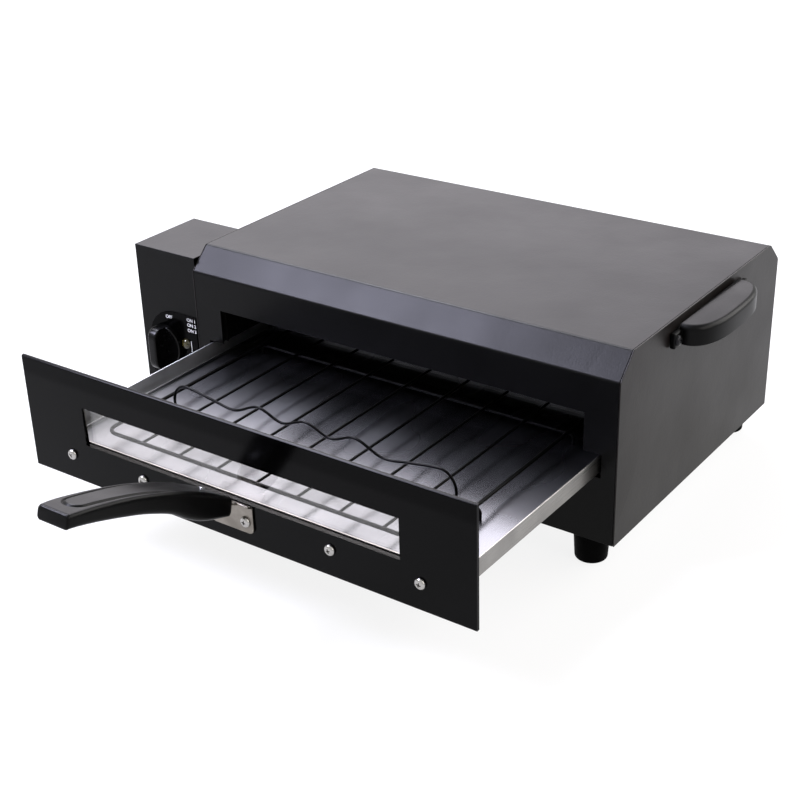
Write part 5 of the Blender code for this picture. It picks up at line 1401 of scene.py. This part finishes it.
def make_lights():
    """Plain soft boxes that look at the oven, each with its share of the light's power."""
    for name, spot, size, share, tint in SOFTBOXES:
        data = bpy.data.lights.new(name, 'AREA')
        data.shape = 'SQUARE'
        data.size = size
        data.energy = bpy.context.scene.oven_stage.key_watts * share
        data.color = tint
        lamp = new_object(name, data)
        lamp.location = spot
        towards = Vector(LIGHT_TARGET) - Vector(spot)
        lamp.rotation_euler = towards.to_track_quat('-Z', 'Y').to_euler()


def make_camera():
    """The photograph's angle, with the sensor filled by the square picture."""
    data = bpy.data.cameras.new("camera")
    data.sensor_width = SENSOR_MM
    data.lens = CAMERA_FOCAL_PIXELS / PICTURE_PIXELS * SENSOR_MM
    data.clip_start, data.clip_end = CAMERA_CLIP
    camera = new_object("camera", data)
    azimuth, elevation, roll = (
        math.radians(angle) for angle in (CAMERA_AZIMUTH, CAMERA_ELEVATION, CAMERA_ROLL))
    back = Vector((math.sin(azimuth) * math.cos(elevation),
                   -math.cos(azimuth) * math.cos(elevation), math.sin(elevation)))
    right = (-back).cross(Vector((0, 0, 1))).normalized()
    up = right.cross(-back)
    tilted_right = right * math.cos(roll) + up * math.sin(roll)
    tilted_up = up * math.cos(roll) - right * math.sin(roll)
    turn = Matrix((tilted_right, tilted_up, back)).transposed().to_4x4()
    camera.matrix_world = Matrix.Translation(place(*CAMERA_PLACE)) @ turn
    bpy.context.scene.camera = camera


def make_stage():
    """Floor, surroundings, soft light and camera."""
    make_floor()
    make_world()
    make_lights()
    make_camera()
    bpy.context.scene.view_settings.view_transform = 'Standard'


# Operators

class OVEN_OT_body(bpy.types.Operator):
    """Make the oven's folded sheet body"""
    bl_idname = "oven.body"
    bl_label = "Body"

    def execute(self, context):
        make_body()
        return {'FINISHED'}


class OVEN_OT_chamber(bpy.types.Operator):
    """Make the reflectors and the heating elements"""
    bl_idname = "oven.chamber"
    bl_label = "Chamber"

    def execute(self, context):
        make_chamber()
        return {'FINISHED'}


class OVEN_OT_feet(bpy.types.Operator):
    """Make the four feet"""
    bl_idname = "oven.feet"
    bl_label = "Feet"

    def execute(self, context):
        make_feet()
        return {'FINISHED'}


class OVEN_OT_control_box(bpy.types.Operator):
    """Make the control box, its switch and its mains inlet"""
    bl_idname = "oven.control_box"
    bl_label = "Control box"

    def execute(self, context):
        make_control_box()
        return {'FINISHED'}


class OVEN_OT_dial(bpy.types.Operator):
    """Make the knob, the lamp and the printed marks"""
    bl_idname = "oven.dial"
    bl_label = "Knob, lamp and marks"

    def execute(self, context):
        make_knob()
        make_lamp()
        make_print()
        return {'FINISHED'}


class OVEN_OT_carry_handle(bpy.types.Operator):
    """Make the carry handle"""
    bl_idname = "oven.carry_handle"
    bl_label = "Carry handle"

    def execute(self, context):
        make_carry_handle()
        return {'FINISHED'}


class OVEN_OT_drawer_front(bpy.types.Operator):
    """Make the drawer's front, window and glass frame"""
    bl_idname = "oven.drawer_front"
    bl_label = "Drawer front"

    def execute(self, context):
        make_drawer_front()
        return {'FINISHED'}


class OVEN_OT_drawer_tray(bpy.types.Operator):
    """Make the tray and its rails"""
    bl_idname = "oven.drawer_tray"
    bl_label = "Tray and rails"

    def execute(self, context):
        make_drawer_tray()
        return {'FINISHED'}


class OVEN_OT_drawer_handle(bpy.types.Operator):
    """Make the drawer handle and its bracket"""
    bl_idname = "oven.drawer_handle"
    bl_label = "Drawer handle"

    def execute(self, context):
        make_drawer_handle()
        return {'FINISHED'}


class OVEN_OT_grill(bpy.types.Operator):
    """Make the wire grill and its rest"""
    bl_idname = "oven.grill"
    bl_label = "Wire grill"

    def execute(self, context):
        make_grill()
        return {'FINISHED'}


class OVEN_OT_screws(bpy.types.Operator):
    """Make every screw"""
    bl_idname = "oven.screws"
    bl_label = "Screws"

    def execute(self, context):
        make_screws()
        return {'FINISHED'}


class OVEN_OT_stage(bpy.types.Operator):
    """Make the floor, the light and the camera"""
    bl_idname = "oven.stage"
    bl_label = "Stage"

    def execute(self, context):
        make_stage()
        return {'FINISHED'}


OPERATORS = (
    OVEN_OT_stage, OVEN_OT_body, OVEN_OT_chamber, OVEN_OT_feet, OVEN_OT_control_box,
    OVEN_OT_dial, OVEN_OT_carry_handle, OVEN_OT_drawer_front, OVEN_OT_drawer_tray,
    OVEN_OT_drawer_handle, OVEN_OT_grill, OVEN_OT_screws,
)


class OVEN_PT_sidebar(bpy.types.Panel):
    """Lists what can be made"""
    bl_label = "Table oven"
    bl_idname = "OVEN_PT_sidebar"
    bl_space_type = 'VIEW_3D'
    bl_region_type = 'UI'
    bl_category = "Oven"

    def draw(self, context):
        for group in (context.scene.oven_look, context.scene.oven_stage):
            box = self.layout.box()
            for key in group.__annotations__:
                box.prop(group, key)
        for operator in OPERATORS:
            self.layout.operator(operator.bl_idname)


CLASSES = (OvenLook, OvenStage, *OPERATORS, OVEN_PT_sidebar)


def register():
    for item in CLASSES:
        bpy.utils.register_class(item)
    bpy.types.Scene.oven_look = PointerProperty(type=OvenLook)
    bpy.types.Scene.oven_stage = PointerProperty(type=OvenStage)


def unregister():
    del bpy.types.Scene.oven_stage
    del bpy.types.Scene.oven_look
    for item in reversed(CLASSES):
        bpy.utils.unregister_class(item)


def main():
    register()
    for operator in OPERATORS:
        group, name = operator.bl_idname.split(".")
        getattr(getattr(bpy.ops, group), name)()


if __name__ == "__main__":
    main()
